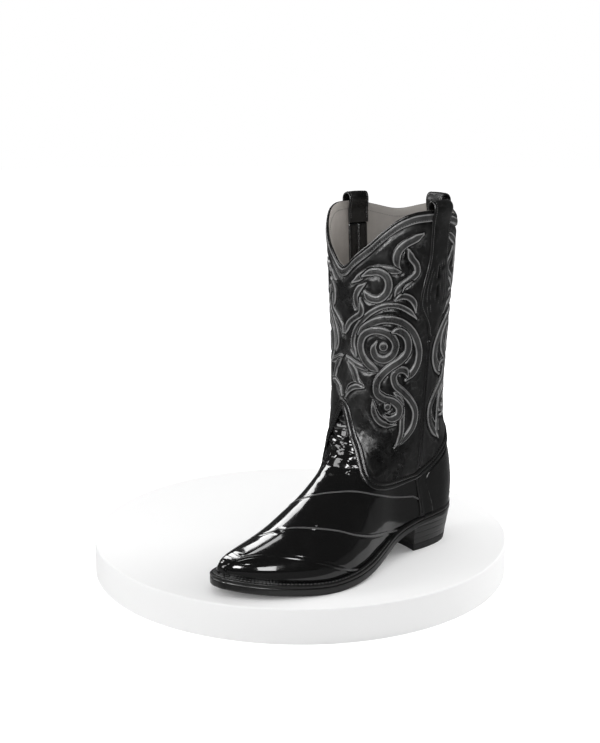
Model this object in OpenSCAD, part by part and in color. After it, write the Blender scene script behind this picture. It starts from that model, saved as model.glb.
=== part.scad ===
// Western boot, left foot. Millimetres, +Z up, toe toward -Y, the wearer's left side toward +X.
// The origin is on the floor under the middle of the boot.
// Every upper piece is a patch of one closed surface, skin(u, v): u runs once around the boot
// (0 toe and front, 0.25 left seam, 0.5 heel and back, 0.75 right seam) and v runs from the
// edge where the upper meets the welt (0) up to the top of the leg (1).

/* [Overall size] */
// Length of the sole from the back of the heel seat to the toe
sole_length = 290; // [240:1:350]
// Width of the sole across the ball
ball_width = 109; // [92:1:126]
// Height of the top edge at the side seams above the floor
shaft_height = 342; // [290:1:420]
// Width of the leg opening from side to side
leg_width = 125.5; // [104:0.5:150]

/* [Leg top] */
// Depth of the front scallop below the side seams
front_scallop = 53; // [20:1:80]
// Depth of the dips in the back top edge between the straps
back_dip = 9; // [0:1:20]
// Width of the bound top edge, measured along the leather
binding_height = 1.8; // [1:0.1:4]

/* [Leather] */
// Thickness of the outer leather
outer_leather = 1.5; // [1:0.1:2.4]
// Thickness of the toe box and the heel counter
stiffener = 1.3; // [0.8:0.1:2]
// Thickness of the lining leather
lining_leather = 1.2; // [0.8:0.1:1.8]
// Gap left between two layers of leather
layer_gap = 0.2; // [0.1:0.05:0.4]

/* [Seams and trim] */
// Width of the band over the joint of foot and leg
collar_width = 9; // [6:0.5:14]
// Height of that band over the leather
collar_rise = 1.5; // [0.8:0.1:3]
// Width of the double bead on the side and back seams
piping_width = 5.5; // [3:0.5:9]
// Height of the double bead
piping_rise = 1.6; // [0.8:0.1:3]
// Half of the slit between two pieces of leather at a seam
seam_slit = 0.35; // [0.2:0.05:1]

/* [Pull straps] */
// Width of a strap at its loop
strap_width = 25; // [16:1:30]
// Widest part of a strap on the outside of the leg
strap_flare = 40; // [26:1:44]
// How far the side straps sit behind the side seams
strap_set_back = 4.5; // [0:0.5:8]
// Length of a strap down the outside of the leg
strap_length = 119; // [70:1:160]
// Length of a strap down the inside of the leg
strap_inside = 20; // [12:1:60]
// Thickness of a strap
strap_leather = 2; // [1.2:0.1:3]
// Height of the loop over the top edge
loop_height = 10.5; // [8:0.5:25]
// Clear room inside the loop at its widest
loop_room = 8; // [6:0.5:16]
// Length of the ribbed strips inside the leg
strip_length = 134; // [60:1:170]

/* [Sole] */
// Thickness of the welt
welt_leather = 3.2; // [2:0.1:5]
// Thickness of the outsole under the ball
outsole_ball = 7.6; // [4:0.1:12]
// Thickness of the outsole under the heel
outsole_heel = 5; // [3:0.1:8]
// How far the sole stands out past the upper at the toe
welt_reach_toe = 7; // [3:0.5:12]
// How far the sole stands out past the upper at the ball
welt_reach_ball = 6; // [3:0.5:10]
// How far the sole stands out past the upper at the waist and the heel
welt_reach_waist = 2.2; // [1:0.1:5]
// Pitch of the stitches on the welt
welt_stitch_pitch = 6.5; // [5:0.5:12]
// Thickness of the insole
insole_board = 3; // [2:0.1:5]
// Thickness of the padded sock over the heel
sock_leather = 1.6; // [1:0.1:3]
// Length of the steel shank
shank_length = 84; // [60:1:96]
// Width of the steel shank
shank_width = 14; // [8:1:20]
// Thickness of the steel shank
shank_steel = 1.5; // [1:0.1:2.5]

/* [Heel] */
// Height of the back of the heel seat over the floor
heel_height = 35; // [22:1:48]
// Thickness of the rubber cap
heel_cap_rubber = 7; // [4:0.5:12]
// Number of level lifts between the cap and the wedge
heel_lifts = 3; // [3:1:3]
// How far the back of the heel slopes in from seat to floor
heel_undercut = 8; // [0:0.5:20]
// Distance from the back of the sole to the front face of the heel
heel_depth = 74; // [60:1:84]
// Diameter of the heel nails
nail_d = 2.4; // [1.5:0.1:4]

/* [Hidden] */

N = 64;              // patches around the whole boot, a multiple of 4
LEFT = 0.2575; BACK = 0.5; RIGHT = 1 - LEFT;

// Reference boot on which the design stations are given: distances along the foot are
// measured from the back of the heel, across from the foot axis, and up from the floor.
REF_L = 290; REF_BALL = 109; REF_TOP = 342; REF_LEG = 125.5; REF_HEEL = 35; REF_SOLE = 10.8;
REF_AXIS = 82;       // distance of the leg axis from the back of the heel

// Height of the edge where the upper meets the welt: distance, height
EDGE_Z = [[0, 43], [25, 41.5], [50, 39.5], [75, 36.5], [92, 33], [110, 27.5], [130, 21],
    [150, 16], [170, 13], [190, 11.5], [203, 10.95], [218, 11.3], [240, 12.7], [265, 15.2],
    [292, 19], [300, 20.2]];
// Outline of that edge: distance, left side, right side
EDGE_X = [[4, 20, -20], [12, 27, -27], [28, 34, -33], [50, 37, -34], [78, 37, -32],
    [105, 39, -29], [130, 47, -29], [155, 56, -31], [178, 61.5, -34], [198, 62, -34.5],
    [218, 57.5, -33], [238, 48, -28.5], [254, 38.5, -23], [266, 29.5, -18], [276, 19.5, -12.5],
    [283, 10, -7], [286, 3.5, -3], [286.5, 0, -1]];
// Rings of the skin: v, then distance and height at the front, the sides and the back,
// then the half widths of the leg to the left and to the right
RINGS = [
    [0.00, 286.5, 19.5, 80, 36, 6, 42, 46, 46],
    [0.04, 285, 24.5, 80, 40, 5, 47, 46, 46],
    [0.08, 280.5, 29, 80, 46, 4.5, 53, 46, 46],
    [0.12, 271.5, 33, 80, 51, 4.5, 60, 46, 46],
    [0.16, 259, 37, 80, 57, 5, 67, 46, 46],
    [0.20, 241, 43.5, 80, 63, 6.5, 75, 46, 46],
    [0.24, 220, 53.5, 80, 70, 9, 84, 46, 46],
    [0.28, 200, 68, 80, 78, 12, 94, 46, 47],
    [0.33, 176, 86.5, 80, 88, 16.5, 107, 46, 48],
    [0.38, 155, 107, 81, 103, 19.5, 121, 46.5, 49.5],
    [0.44, 144, 129, 83, 124, 23, 140, 47.5, 51],
    [0.50, 140, 151, 84, 146, 25, 160, 49, 52],
    [0.60, 138, 190, 84, 188, 25, 196, 52, 54],
    [0.75, 139.5, 250, 83, 250, 22.5, 254, 56.5, 57.5],
    [0.90, 142.5, 309, 82, 309, 19, 309, 60, 61],
    [1.00, 145, 348, 82, 348, 18, 348, 62.5, 63],
    [1.08, 147, 379, 82, 379, 17, 379, 64, 64.5]];
// Line of the joint between foot and leg: u, v
JOINT = [[0, 0.518], [0.015, 0.505], [0.04, 0.462], [0.07, 0.415], [0.1, 0.374], [0.13, 0.342],
    [0.17, 0.314], [0.21, 0.298], [0.25, 0.302], [0.29, 0.316], [0.33, 0.336], [0.42, 0.378],
    [0.5, 0.41]];
// Share of the scallop (front) and of the dip (back) along the top edge: u, front, back
SCALLOP = [[0, 1, 0], [0.012, 0.97, 0], [0.04, 0.8, 0], [0.085, 0.55, 0], [0.12, 0.32, 0],
    [0.155, 0.13, 0], [0.19, 0.03, 0], [0.23, 0, 0], [0.27, 0, 0], [0.32, 0, 0.5],
    [0.38, 0, 1], [0.44, 0, 0.5], [0.48, 0, 0.1], [0.5, 0, 0]];

// Smooth curve through rows that start with their own position
function row(tab, t, i = 0) = i >= len(tab) - 2 || t < tab[i + 1][0] ? i : row(tab, t, i + 1);
function slope(tab, i) = let (n = len(tab))
    i == 0 ? (tab[1] - tab[0]) / (tab[1][0] - tab[0][0])
    : i == n - 1 ? (tab[i] - tab[i - 1]) / (tab[i][0] - tab[i - 1][0])
    : let (a = tab[i][0] - tab[i - 1][0], b = tab[i + 1][0] - tab[i][0])
        ((tab[i + 1] - tab[i]) / b * a + (tab[i] - tab[i - 1]) / a * b) / (a + b);
function curve(tab, t0) =
    let (t = max(tab[0][0], min(tab[len(tab) - 1][0], t0)), i = row(tab, t),
        h = tab[i + 1][0] - tab[i][0], s = (t - tab[i][0]) / h, s2 = s * s, s3 = s2 * s)
    (2 * s3 - 3 * s2 + 1) * tab[i] + (s3 - 2 * s2 + s) * h * slope(tab, i)
    + (3 * s2 - 2 * s3) * tab[i + 1] + (s3 - s2) * h * slope(tab, i + 1);
function ease(t) = let (a = max(0, min(1, t))) a * a * (3 - 2 * a);
function mix(a, b, t) = a + (b - a) * t;

// Scales from the reference boot to the sizes above
k_len = sole_length / REF_L;
k_ball = (ball_width - 2 * welt_reach_ball) / (REF_BALL - 12);
k_leg = leg_width / REF_LEG;
sole_stack = welt_leather + outsole_ball;
top_base = 160;      // height above which the leg stretches with shaft_height
k_up = (shaft_height - top_base - heel_height + REF_HEEL) / (REF_TOP - top_base);
// Rise of the whole upper over the reference at a distance from the heel
function lift(l) = (sole_stack - REF_SOLE)
    + (heel_height - REF_HEEL - sole_stack + REF_SOLE) * (1 - ease((l - 70) / 110));
function up(z) = z <= top_base ? z : top_base + (z - top_base) * k_up;
RIDGE = [for (i = [10:-1:0]) [RINGS[i][1], RINGS[i][2]]];
R0 = RINGS[0];
// Distance range over which the toe rounds off, and the powers of the foot's section
SIDE_WALL = [[200, 6], [250, 4.5], [275, 3], [286.5, 0.3]];
ROUNDNESS = [[80, 1.5], [140, 1.6], [190, 1.9], [265, 2.2], [285, 2.4]];

// The outside of the leather, before it is moved to the floor frame
function skin(u0, v) =
    let (a0 = 360 * u0,
        a = a0 + 6.5 * (1 - ease(v / 0.45)) * sin(a0),
        c = cos(a), s = sin(a), q1 = curve(RINGS, v),
        q = v < 0.44 ? [q1[0], q1[1], curve(RIDGE, q1[1])[1], q1[3], q1[4], q1[5], q1[6],
            q1[7], q1[8]] : q1,
        l = c >= 0 ? q[3] + (q[1] - q[3]) * c : q[3] + (q[3] - q[5]) * c,
        zr = c >= 0 ? q[4] + (q[2] - q[4]) * c : q[4] - (q[6] - q[4]) * c,
        l0 = c >= 0 ? R0[3] + (R0[1] - R0[3]) * c : R0[3] + (R0[3] - R0[5]) * c,
        z0 = c >= 0 ? R0[4] + (R0[2] - R0[4]) * c : R0[4] - (R0[6] - R0[4]) * c,
        z = zr + (1 - ease(v / 0.28)) * (curve(EDGE_Z, l0)[1] - z0),
        m = ease((v - 0.26) / 0.21),
        w = curve(EDGE_X, max(l, 4)), mid = (w[1] + w[2]) / 2, half = (w[1] - w[2]) / 2,
        zb = curve(EDGE_Z, l)[1],
        ridge = l < RIDGE[0][0] ? RIDGE[0][1] + (RIDGE[0][0] - l) * 4 : curve(RIDGE, l)[1],
        zw = zb + lookup(l, SIDE_WALL),
        t = max(0, min(1, (z - zw) / max(ridge - zw, 0.001))),
        d = sqrt(max(0, 1 - pow(t, lookup(l, ROUNDNESS)))),
        h = max(0, min(1, (45 - l) / (45 - q[5]))), e = sqrt(max(0, 1 - pow(h, 2.2))),
        g = 1 + 0.05 * max(0, min(1, (z - zb) / 30)) * max(0, min(1, (60 - l) / 30)),
        foot = (mid * e + sign(s) * half * d * e * g) * k_ball,
        leg = (s >= 0 ? q[7] : q[8]) * s * k_leg,
        lf = l * k_len, ll = REF_AXIS * k_len + (l - REF_AXIS) * k_leg)
    [mix(foot, leg, m), -mix(lf, ll, m), up(z) + lift(l)];

// Depths of the layers of the foot and of the leg
d_stiff = -outer_leather - layer_gap;
d_lining = d_stiff - stiffener - layer_gap;
foot_wall = -d_lining + lining_leather;
leg_wall = outer_leather + layer_gap + lining_leather;

// The row frame: origin on the floor under the middle of the boot
out_left = 61.8 * k_ball + welt_reach_ball;
out_right = 62.85 * k_leg + max(strap_leather + loop_room / 2 - leg_wall / 2, strap_leather);
out_front = -skin(0, 0)[1] + welt_reach_toe;
out_back = 6 * k_len - welt_reach_waist;
SHIFT = [-(out_left - out_right) / 2, (out_front + out_back) / 2, 0];

function normal(u, v) =
    let (n = cross(skin(u + 0.004, v) - skin(u - 0.004, v),
        skin(u, v + 0.006) - skin(u, max(0, v - 0.006))))
    n / norm(n);
// A point that stands off the skin by o, outward positive
function at(u, v, o) = skin(u, v) + o * normal(u, v) + SHIFT;
function near_v(u) = curve(JOINT, abs(u > 0.5 ? 1 - u : u))[1];
function joint(u) = near_v(u - floor(u));
// v for a height on the leg, and the top edge
function v_of(z, a = 0.5, b = 1.08, k = 0) =
    k > 16 ? (a + b) / 2 : let (m = (a + b) / 2)
    up(curve(RINGS, m)[4]) + lift(0) < z ? v_of(z, m, b, k + 1) : v_of(z, a, m, k + 1);
function top_at(u) = let (w = u - floor(u), q = curve(SCALLOP, w > 0.5 ? 1 - w : w))
    v_of(shaft_height - max(0, q[1]) * front_scallop - max(0, q[2]) * back_dip);
V_TOP = [for (i = [0:N]) [i / N, top_at(i / N)]];
function top(u) = let (w = u - floor(u)) w > 0 && w < 1 / N || w > 1 - 1 / N
    ? top_at(w) : lookup(w, V_TOP);
// Length of skin per unit of u and of v
function per_u(u, v) = norm(skin(u + 0.004, v) - skin(u - 0.004, v)) / 0.008;
function per_v(u, v) = norm(skin(u, v + 0.006) - skin(u, v - 0.006)) / 0.012;

// Steps from a to b that keep to the N lines around the boot
function steps(a, b) = let (i = ceil(a * N + 0.2), j = floor(b * N - 0.2))
    [a, each [for (k = [i:j]) k / N], b];

// Closed solid between two matching grids of points. Rows join up when ring is true.
module sheet(a, b, ring = false) {
    n = len(a); m = len(a[0]); k = n * m; r = ring ? n : n - 1;
    function p(i, j) = (i % n) * m + j;
    polyhedron([each [for (x = a) each x], each [for (x = b) each x]], [
        for (i = [0:r - 1]) for (j = [0:m - 2]) each [
            [p(i, j), p(i, j + 1), p(i + 1, j + 1)], [p(i, j), p(i + 1, j + 1), p(i + 1, j)],
            [k + p(i, j), k + p(i + 1, j + 1), k + p(i, j + 1)],
            [k + p(i, j), k + p(i + 1, j), k + p(i + 1, j + 1)]],
        for (i = [0:r - 1]) each [
            [p(i, 0), p(i + 1, 0), k + p(i + 1, 0)], [p(i, 0), k + p(i + 1, 0), k + p(i, 0)],
            [p(i + 1, m - 1), p(i, m - 1), k + p(i, m - 1)],
            [p(i + 1, m - 1), k + p(i, m - 1), k + p(i + 1, m - 1)]],
        if (!ring) for (j = [0:m - 2]) each [
            [p(0, j + 1), p(0, j), k + p(0, j)], [p(0, j + 1), k + p(0, j), k + p(0, j + 1)],
            [p(n - 1, j), p(n - 1, j + 1), k + p(n - 1, j + 1)],
            [p(n - 1, j), k + p(n - 1, j + 1), k + p(n - 1, j)]]], convexity = 8);
}

// Leather between u0 and u1 and between the v values bottom(u) and top(u), from depth o0 in
// to depth o1, with m patches from bottom to top
module leather(us, lo, hi, o0, o1, m) {
    n = len(us);
    sheet([for (i = [0:n - 1]) [for (j = [0:m]) at(us[i], mix(lo[i], hi[i], j / m), o0)]],
        [for (i = [0:n - 1]) [for (j = [0:m]) at(us[i], mix(lo[i], hi[i], j / m), o1)]]);
}

joint_slit = 0.004;  // in v, half the slit between foot and leg leather
// share is how much of the height from the welt to the joint a piece covers
module foot_leather(us, o0, o1, m, lo = 0, share = 1)
    leather(us, [for (u = us) lo], [for (u = us) share * (joint(u) - joint_slit)], o0, o1, m);
module leg_leather(us, o0, o1, m)
    leather(us, [for (u = us) joint(u) + joint_slit], [for (u = us) top(u)], o0, o1, m);
slit_u = seam_slit / per_u(LEFT, 0.7);
FRONT_U = steps(-LEFT + slit_u, LEFT - slit_u);
REAR_U = steps(LEFT + slit_u, RIGHT - slit_u);
BACK_LEFT_U = steps(LEFT + slit_u, BACK - slit_u);
BACK_RIGHT_U = steps(BACK + slit_u, RIGHT - slit_u);

module vamp() { color("#141414") foot_leather(FRONT_U, 0, -outer_leather, 14); }
module counter_cover() { color("#161616") foot_leather(REAR_U, 0, -outer_leather, 8); }
module toe_box() {
    color("#8a7a62") foot_leather(steps(-0.13, 0.13), d_stiff - 0.05, d_stiff - stiffener + 0.12, 6, 0, 6 / 14);
}
module counter_stiffener() {
    color("#8a7a62") foot_leather(steps(0.3, 0.7), d_stiff, d_stiff - stiffener, 6, 0.012, 6 / 8);
}
module vamp_lining() {
    color("#a89c90") foot_leather(FRONT_U, d_lining, d_lining - lining_leather, 14, 0.012);
}
module heel_lining() {
    color("#a89c90") foot_leather(REAR_U, d_lining, d_lining - lining_leather, 8, 0.012);
}
module front_shaft_panel() { color("#3c3d40") leg_leather(FRONT_U, 0, -outer_leather, 9); }
module back_left_shaft_panel() {
    color("#3c3d40") leg_leather(BACK_LEFT_U, 0, -outer_leather, 9);
}
module back_right_shaft_panel() {
    color("#3c3d40") leg_leather(BACK_RIGHT_U, 0, -outer_leather, 9);
}
module front_shaft_lining() {
    color("#a89c90") leg_leather(FRONT_U, d_stiff, -leg_wall, 9);
}
module back_left_shaft_lining() {
    color("#a89c90") leg_leather(BACK_LEFT_U, d_stiff, -leg_wall, 9);
}
module back_right_shaft_lining() {
    color("#a89c90") leg_leather(BACK_RIGHT_U, d_stiff, -leg_wall, 9);
}

// Two rolled ridges over the joint of foot and leg
module collar_band() {
    us = [for (i = [0:N - 1]) i / N];
    prof = [[-0.5, 0.35], [-0.25, 1], [0, 0.6], [0.25, 1], [0.5, 0.35]];
    function vj(u, f) = joint(u) + f * collar_width / per_v(u, joint(u));
    color("#1b1b1b") sheet(
        [for (u = us) [for (p = prof) at(u, vj(u, p[0]), layer_gap * 1.75 + p[1] * collar_rise)]],
        [for (u = us) [for (p = prof) at(u, vj(u, p[0]), layer_gap * 1.75)]], ring = true);
}
// Double bead over a seam at u, from v0 up to v1
module piping(u, v0, v1, m) {
    prof = [[0.5, 0.3], [0.25, 1], [0, 0.35], [-0.25, 1], [-0.5, 0.3]];
    vs = [for (j = [0:m]) mix(v0, v1, j / m)];
    function uj(v, f) = u + f * piping_width / per_u(u, v);
    color("#101010") sheet(
        [for (v = vs) [for (p = prof) at(uj(v, p[0]), v, layer_gap * 1.5 + p[1] * piping_rise)]],
        [for (v = vs) [for (p = prof) at(uj(v, p[0]), v, layer_gap * 1.5)]]);
}
function strap_v(u, drop) = v_of(shaft_height - drop);
module leg_piping(u) {
    piping(u, joint(u) + (collar_width / 2) / per_v(u, joint(u)) + 0.002,
        strap_v(u, strap_length + 1.5), 12);
}
module side_piping(u) {
    piping(u, 0.004, joint(u) - (collar_width / 2) / per_v(u, joint(u)) - 0.002, 6);
    leg_piping(u);
}
module left_seam_piping() { side_piping(LEFT); }
module right_seam_piping() { side_piping(RIGHT); }
module back_seam_piping() { leg_piping(BACK); }

// Thin strip that closes the edges of outer leather and lining, all round the top
module topline_binding() {
    us = [for (i = [0:N - 1]) i / N];
    depth = [0, -outer_leather, d_stiff, -leg_wall];
    function v_top(u, h) = top(u) + (h + 0.05) / per_v(u, top(u));
    color("#1c1a19") sheet(
        [for (u = us) [for (d = depth) at(u, v_top(u, 0), d)]],
        [for (u = us) [for (d = depth) at(u, v_top(u, binding_height), d)]], ring = true);
}

// Pull strap over the top edge at u: a flared leg outside, a standing loop and a short leg
// inside. Stations are height over the top edge, distance off the skin and half width.
module pull_strap(u) {
    t = strap_leather; z1 = shaft_height; half = strap_width / 2;
    o_out = layer_gap + t / 2;
    o_in = -leg_wall - layer_gap - t / 2;
    o_mid = (o_out + o_in) / 2;
    reach = (loop_room + t) / 2;
    rise = loop_height - t / 2;
    tip = 7;
    outer = [for (d = [0, 0.7, 2.5, tip, 14, 24, 36, 50, 66, 84, 100, 118, 134]) if (d < strap_length - 14)
        [d - strap_length, o_out, d <= tip ? sqrt(max(0, 1 - pow(1 - d / tip, 2))) * 6.5 + 1
            : d < 36 ? mix(7.5, strap_flare / 2, ease((d - tip) / 29))
            : mix(strap_flare / 2, half, ease((d - 36) / 46))]];
    arc = [for (a = [0:22.5:180]) [rise * (0.35 + 0.65 * sin(a)), o_mid + reach * cos(a), half]];
    inner = [for (d = [9, strap_inside * 0.6, strap_inside]) [-d, o_in, half]];
    path = concat(outer, [[-9, o_out + 0.3, half]], arc, inner);
    n = len(path);
    function along(i) = let (p = path[max(0, i - 1)], q = path[min(n - 1, i + 1)],
        d = [q[0] - p[0], q[1] - p[1]]) d / norm(d);
    // s is the side of the strap, +1 the outer face; f runs across it from -1 to 1
    function pt(i, f, s) = let (p = path[i], d = along(i), z = z1 + p[0] + s * d[1] * -t / 2,
            o = p[1] + s * d[0] * t / 2, v = v_of(z))
        at(u - f * p[2] / per_u(u, min(v, 1)), v, o);
    color("#1d1d1e") sheet(
        [for (i = [0:n - 1]) [for (f = [-1:0.5:1]) pt(i, f, 1)]],
        [for (i = [0:n - 1]) [for (f = [-1:0.5:1]) pt(i, f, -1)]]);
}
set_back = strap_set_back / per_u(LEFT, 0.9);
module left_pull_strap() { pull_strap(LEFT + set_back); }
module right_pull_strap() { pull_strap(RIGHT - set_back); }
module back_pull_strap() { pull_strap(BACK); }

// Long strip with two ribs inside the leg, below the strap's inner leg
module inner_strip(u) {
    prof = [[0.5, 0.5], [0.3, 1], [0.1, 0.5], [-0.1, 0.5], [-0.3, 1], [-0.5, 0.5]];
    vs = [for (j = [0:10]) strap_v(u, strap_inside + 1 + strip_length * j / 10)];
    o = -leg_wall - layer_gap;
    function uj(v, f) = u + f * strap_width * 0.92 / per_u(u, v);
    color("#141414") sheet(
        [for (v = vs) [for (p = prof) at(uj(v, p[0]), v, o - p[1] * 2.4)]],
        [for (v = vs) [for (p = prof) at(uj(v, p[0]), v, o)]]);
}
module left_inner_strip() { inner_strip(LEFT + set_back); }
module right_inner_strip() { inner_strip(RIGHT - set_back); }
module back_inner_strip() { inner_strip(BACK); }

// Plan outline of the upper at the welt, moved outward by o
function edge_z(l) = curve(EDGE_Z, l)[1] + lift(l);
function edge(u, o) = let (n = normal(u, 0.004), k = norm([n[0], n[1]]), p = skin(u, 0),
        y = p[1] + o * n[1] / k)
    [p[0] + o * n[0] / k, y, edge_z(-y / k_len)] + SHIFT;
REACH = [[0, welt_reach_toe], [0.08, welt_reach_toe * 0.95], [0.13, welt_reach_ball],
    [0.18, welt_reach_ball * 0.95], [0.225, welt_reach_waist + 0.8], [0.26, welt_reach_waist],
    [0.5, welt_reach_waist]];
function reach(u) = let (w = abs(u > 0.5 ? 1 - u : u)) curve(REACH, w)[1];
SOLE = [[-5, outsole_heel], [70, outsole_heel + 0.3], [95, outsole_heel + 1.6],
    [140, outsole_ball], [330, outsole_ball]];
function sole_at(u) = lookup(-skin(u, 0)[1] / k_len, SOLE);
drop_welt = layer_gap / 2;
drop_sole = drop_welt + welt_leather + 0.15;

// Flat piece across the foot between u0 and u1 (0 is the toe, 0.5 the heel). o is how far it
// reaches past the upper's outline, za and zb its top and bottom under the outline.
module slab(us, o, za, zb) {
    function across(u, z) = let (a = edge(u, o[0] + (o[1] ? reach(u) : 0)),
            b = edge(1 - u, o[0] + (o[1] ? reach(u) : 0)))
        [for (f = [0:0.25:1]) mix(a, b, f) + [0, 0, z]];
    sheet([for (i = [0:len(us) - 1]) across(us[i], za[i])],
        [for (i = [0:len(us) - 1]) across(us[i], zb[i])]);
}
function sole_steps(a, b) = [a, each [for (k = [ceil(a * N + 0.2):floor(b * N - 0.2)]) k / N], b];
WHOLE = [0.004, 0.01, each sole_steps(1 / N, 0.5 - 1 / N), 0.49, 0.496];
module outsole() {
    color("#171615") slab(WHOLE, [0, true], [for (u = WHOLE) -drop_sole],
        [for (u = WHOLE) -drop_sole - sole_at(u)]);
}
module insole() {
    us = sole_steps(0.02, 0.48);
    color("#b09a78") slab(us, [-foot_wall - 0.8, false], [for (u = us) insole_board],
        [for (u = us) 0]);
}
module heel_sock() {
    us = sole_steps(0.27, 0.475);
    color("#9a8d80") slab(us, [-foot_wall - 1.1, false],
        [for (u = us) insole_board + 0.05 + sock_leather], [for (u = us) insole_board + 0.05]);
}
module cork_filler() {
    us = sole_steps(0.03, 0.185);
    color("#a5794a") slab(us, [-foot_wall - 2, false], [for (u = us) -0.4],
        [for (u = us) -drop_sole + 0.4]);
}
module shank() {
    m = 10; l1 = 44 * k_len; l2 = l1 + shank_length * k_len;
    function zc(l) = edge_z(l / k_len) - drop_sole + 0.1 + (welt_leather - shank_steel) / 2;
    function line(z) = [for (j = [0:m]) let (l = mix(l1, l2, j / m))
        [for (f = [-0.5, 0.5]) [f * shank_width + 2, -l, zc(l) + z] + SHIFT]];
    color("#9c9fa3") sheet(line(shank_steel), line(0));
}
// Strip around the edge of the foot from u0 to u1, from o0 inside to reach(u) outside
module rim(us, o0, rise) {
    color("#15130f") sheet(
        [for (u = us) [edge(u, reach(u)) + [0, 0, -drop_welt - welt_leather],
            edge(u, reach(u)) + [0, 0, -drop_welt + rise]]],
        [for (u = us) [edge(u, o0) + [0, 0, -drop_welt - welt_leather],
            edge(u, o0) + [0, 0, -drop_welt]]]);
}
module welt() { rim(steps(-0.262, 0.262), -foot_wall - 1, 0); }
module heel_seat_rand() { rim(steps(0.264, 0.736), -foot_wall - 1, 0); }
// Line of the stitches on the welt: length along it, u
STITCH_LINE = let (m = 80, us = [for (k = [0:m]) mix(-0.205, 0.205, k / m)],
        ps = [for (u = us) edge(u, reach(u) * 0.55)])
    [for (k = 0, run = 0; k <= m; run = run + norm(ps[min(k + 1, m)] - ps[k]), k = k + 1) [run, us[k]]];
module welt_stitching() {
    total = STITCH_LINE[80][0];
    n = floor(total / welt_stitch_pitch);
    color("#3b3a36") for (k = [0:n - 1]) let (u = lookup((k + 0.5) * total / n, STITCH_LINE),
            p = edge(u, reach(u) * 0.55), q = edge(u + 0.001, reach(u) * 0.55))
        translate([p[0], p[1], p[2] - drop_welt + 0.5])
            rotate([0, -atan2(q[2] - p[2], norm([q[0] - p[0], q[1] - p[1]])),
                atan2(q[1] - p[1], q[0] - p[0])])
                cube([welt_stitch_pitch * 0.6, 0.9, 0.5], center = true);
}

// Heel outlines: plan at a height share h (0 floor, 1 seat)
heel_back = 6 * k_len - welt_reach_waist;
seat_z = 43 + lift(0) - drop_sole - outsole_heel;
function heel_plan(h) = let (lb = heel_back + heel_undercut * (1 - h) + 1,
        lf = heel_depth * k_len - 2 * (1 - h), w = (33 - 3.5 * (1 - h)) * k_ball)
    [for (t = [-90:9:90]) [w * sign(sin(t)) * pow(abs(sin(t)), 0.82) + 1,
            -(lf - (lf - lb) * pow(cos(t), 0.8)), 0],
        for (f = [0.75, 0.5, 0.25]) [w * (2 * f - 1) * 1 + 1,
            -(lf - 3.5 * 4 * f * (1 - f)), 0]];
module stack(z0, z1) {
    function ring(z) = [for (p = heel_plan(z / seat_z)) p + [0, 0, z] + SHIFT];
    a = ring(z0); b = ring(z1); n = len(a);
    polyhedron([each a, each b], [[for (i = [n - 1:-1:0]) i], [for (i = [0:n - 1]) n + i],
        for (i = [0:n - 1]) each [[i, n + (i + 1) % n, n + i], [i, (i + 1) % n, n + (i + 1) % n]]],
        convexity = 4);
}
breast_z = edge_z(heel_depth) - drop_sole - outsole_heel - 0.5;
lift_t = (breast_z - heel_cap_rubber - 2.5) / heel_lifts;
module heel_lift(k) {
    color(k % 2 == 0 ? "#1c1a18" : "#211e1b")
        stack(heel_cap_rubber + 0.05 + k * lift_t, heel_cap_rubber + (k + 1) * lift_t);
}
module heel_lift_1() { heel_lift(0); }
module heel_lift_2() { heel_lift(1); }
module heel_lift_3() { heel_lift(2); }
// Wedge between the level lifts and the sloping sole
module heel_wedge() {
    z0 = heel_cap_rubber + heel_lifts * lift_t + 0.05;
    a = [for (p = heel_plan(z0 / seat_z)) p + [0, 0, z0] + SHIFT];
    b = [for (p = heel_plan(1)) let (l = -p[1] / k_len)
        [p[0], p[1], edge_z(max(0, l)) - drop_sole - outsole_heel - 0.45] + SHIFT];
    n = len(a);
    color("#1e1c1a") polyhedron([each a, each b, [0, -40 * k_len, z0] + SHIFT,
            [0, -40 * k_len, edge_z(40) - drop_sole - outsole_heel - 0.45] + SHIFT],
        [for (i = [0:n - 1]) each [[i, n + (i + 1) % n, n + i], [i, (i + 1) % n, n + (i + 1) % n],
            [(i + 1) % n, i, 2 * n], [n + i, n + (i + 1) % n, 2 * n + 1]]], convexity = 4);
}
NAILS = [for (t = [-72:36:72]) [24 * sin(t) + 1, -(heel_back + heel_undercut + 26 - 18 * cos(t))],
    each [for (x = [-22, -7, 9, 24]) [x, -(heel_depth * k_len - 10)]]];
module heel_cap() {
    color("#141414") difference() {
        linear_extrude(heel_cap_rubber) polygon([for (p = heel_plan(0.1)) [p[0], p[1]] + [SHIFT[0], SHIFT[1]]]);
        for (p = NAILS) translate([p[0] + SHIFT[0], p[1] + SHIFT[1], -1])
            cylinder(h = heel_cap_rubber + 2, d = nail_d + 0.2, $fn = 32);
    }
}
module heel_nails() {
    color("#b08d4a") for (p = NAILS) translate([p[0] + SHIFT[0], p[1] + SHIFT[1], 0.4])
        cylinder(h = heel_cap_rubber - 0.5, d = nail_d, $fn = 32);
}

vamp();
counter_cover();
toe_box();
counter_stiffener();
vamp_lining();
heel_lining();
front_shaft_panel();
back_left_shaft_panel();
back_right_shaft_panel();
front_shaft_lining();
back_left_shaft_lining();
back_right_shaft_lining();
collar_band();
left_seam_piping();
right_seam_piping();
back_seam_piping();
topline_binding();
left_pull_strap();
right_pull_strap();
back_pull_strap();
left_inner_strip();
right_inner_strip();
back_inner_strip();
insole();
heel_sock();
shank();
cork_filler();
welt();
heel_seat_rand();
welt_stitching();
outsole();
heel_wedge();
heel_lift_1();
heel_lift_2();
heel_lift_3();
heel_cap();
heel_nails();
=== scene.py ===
"""Looks of a western boot: glossy foot leather, burnished leg with raised scroll work, straps, sole."""
import math
import bpy
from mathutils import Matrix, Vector
import numpy as np


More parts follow.
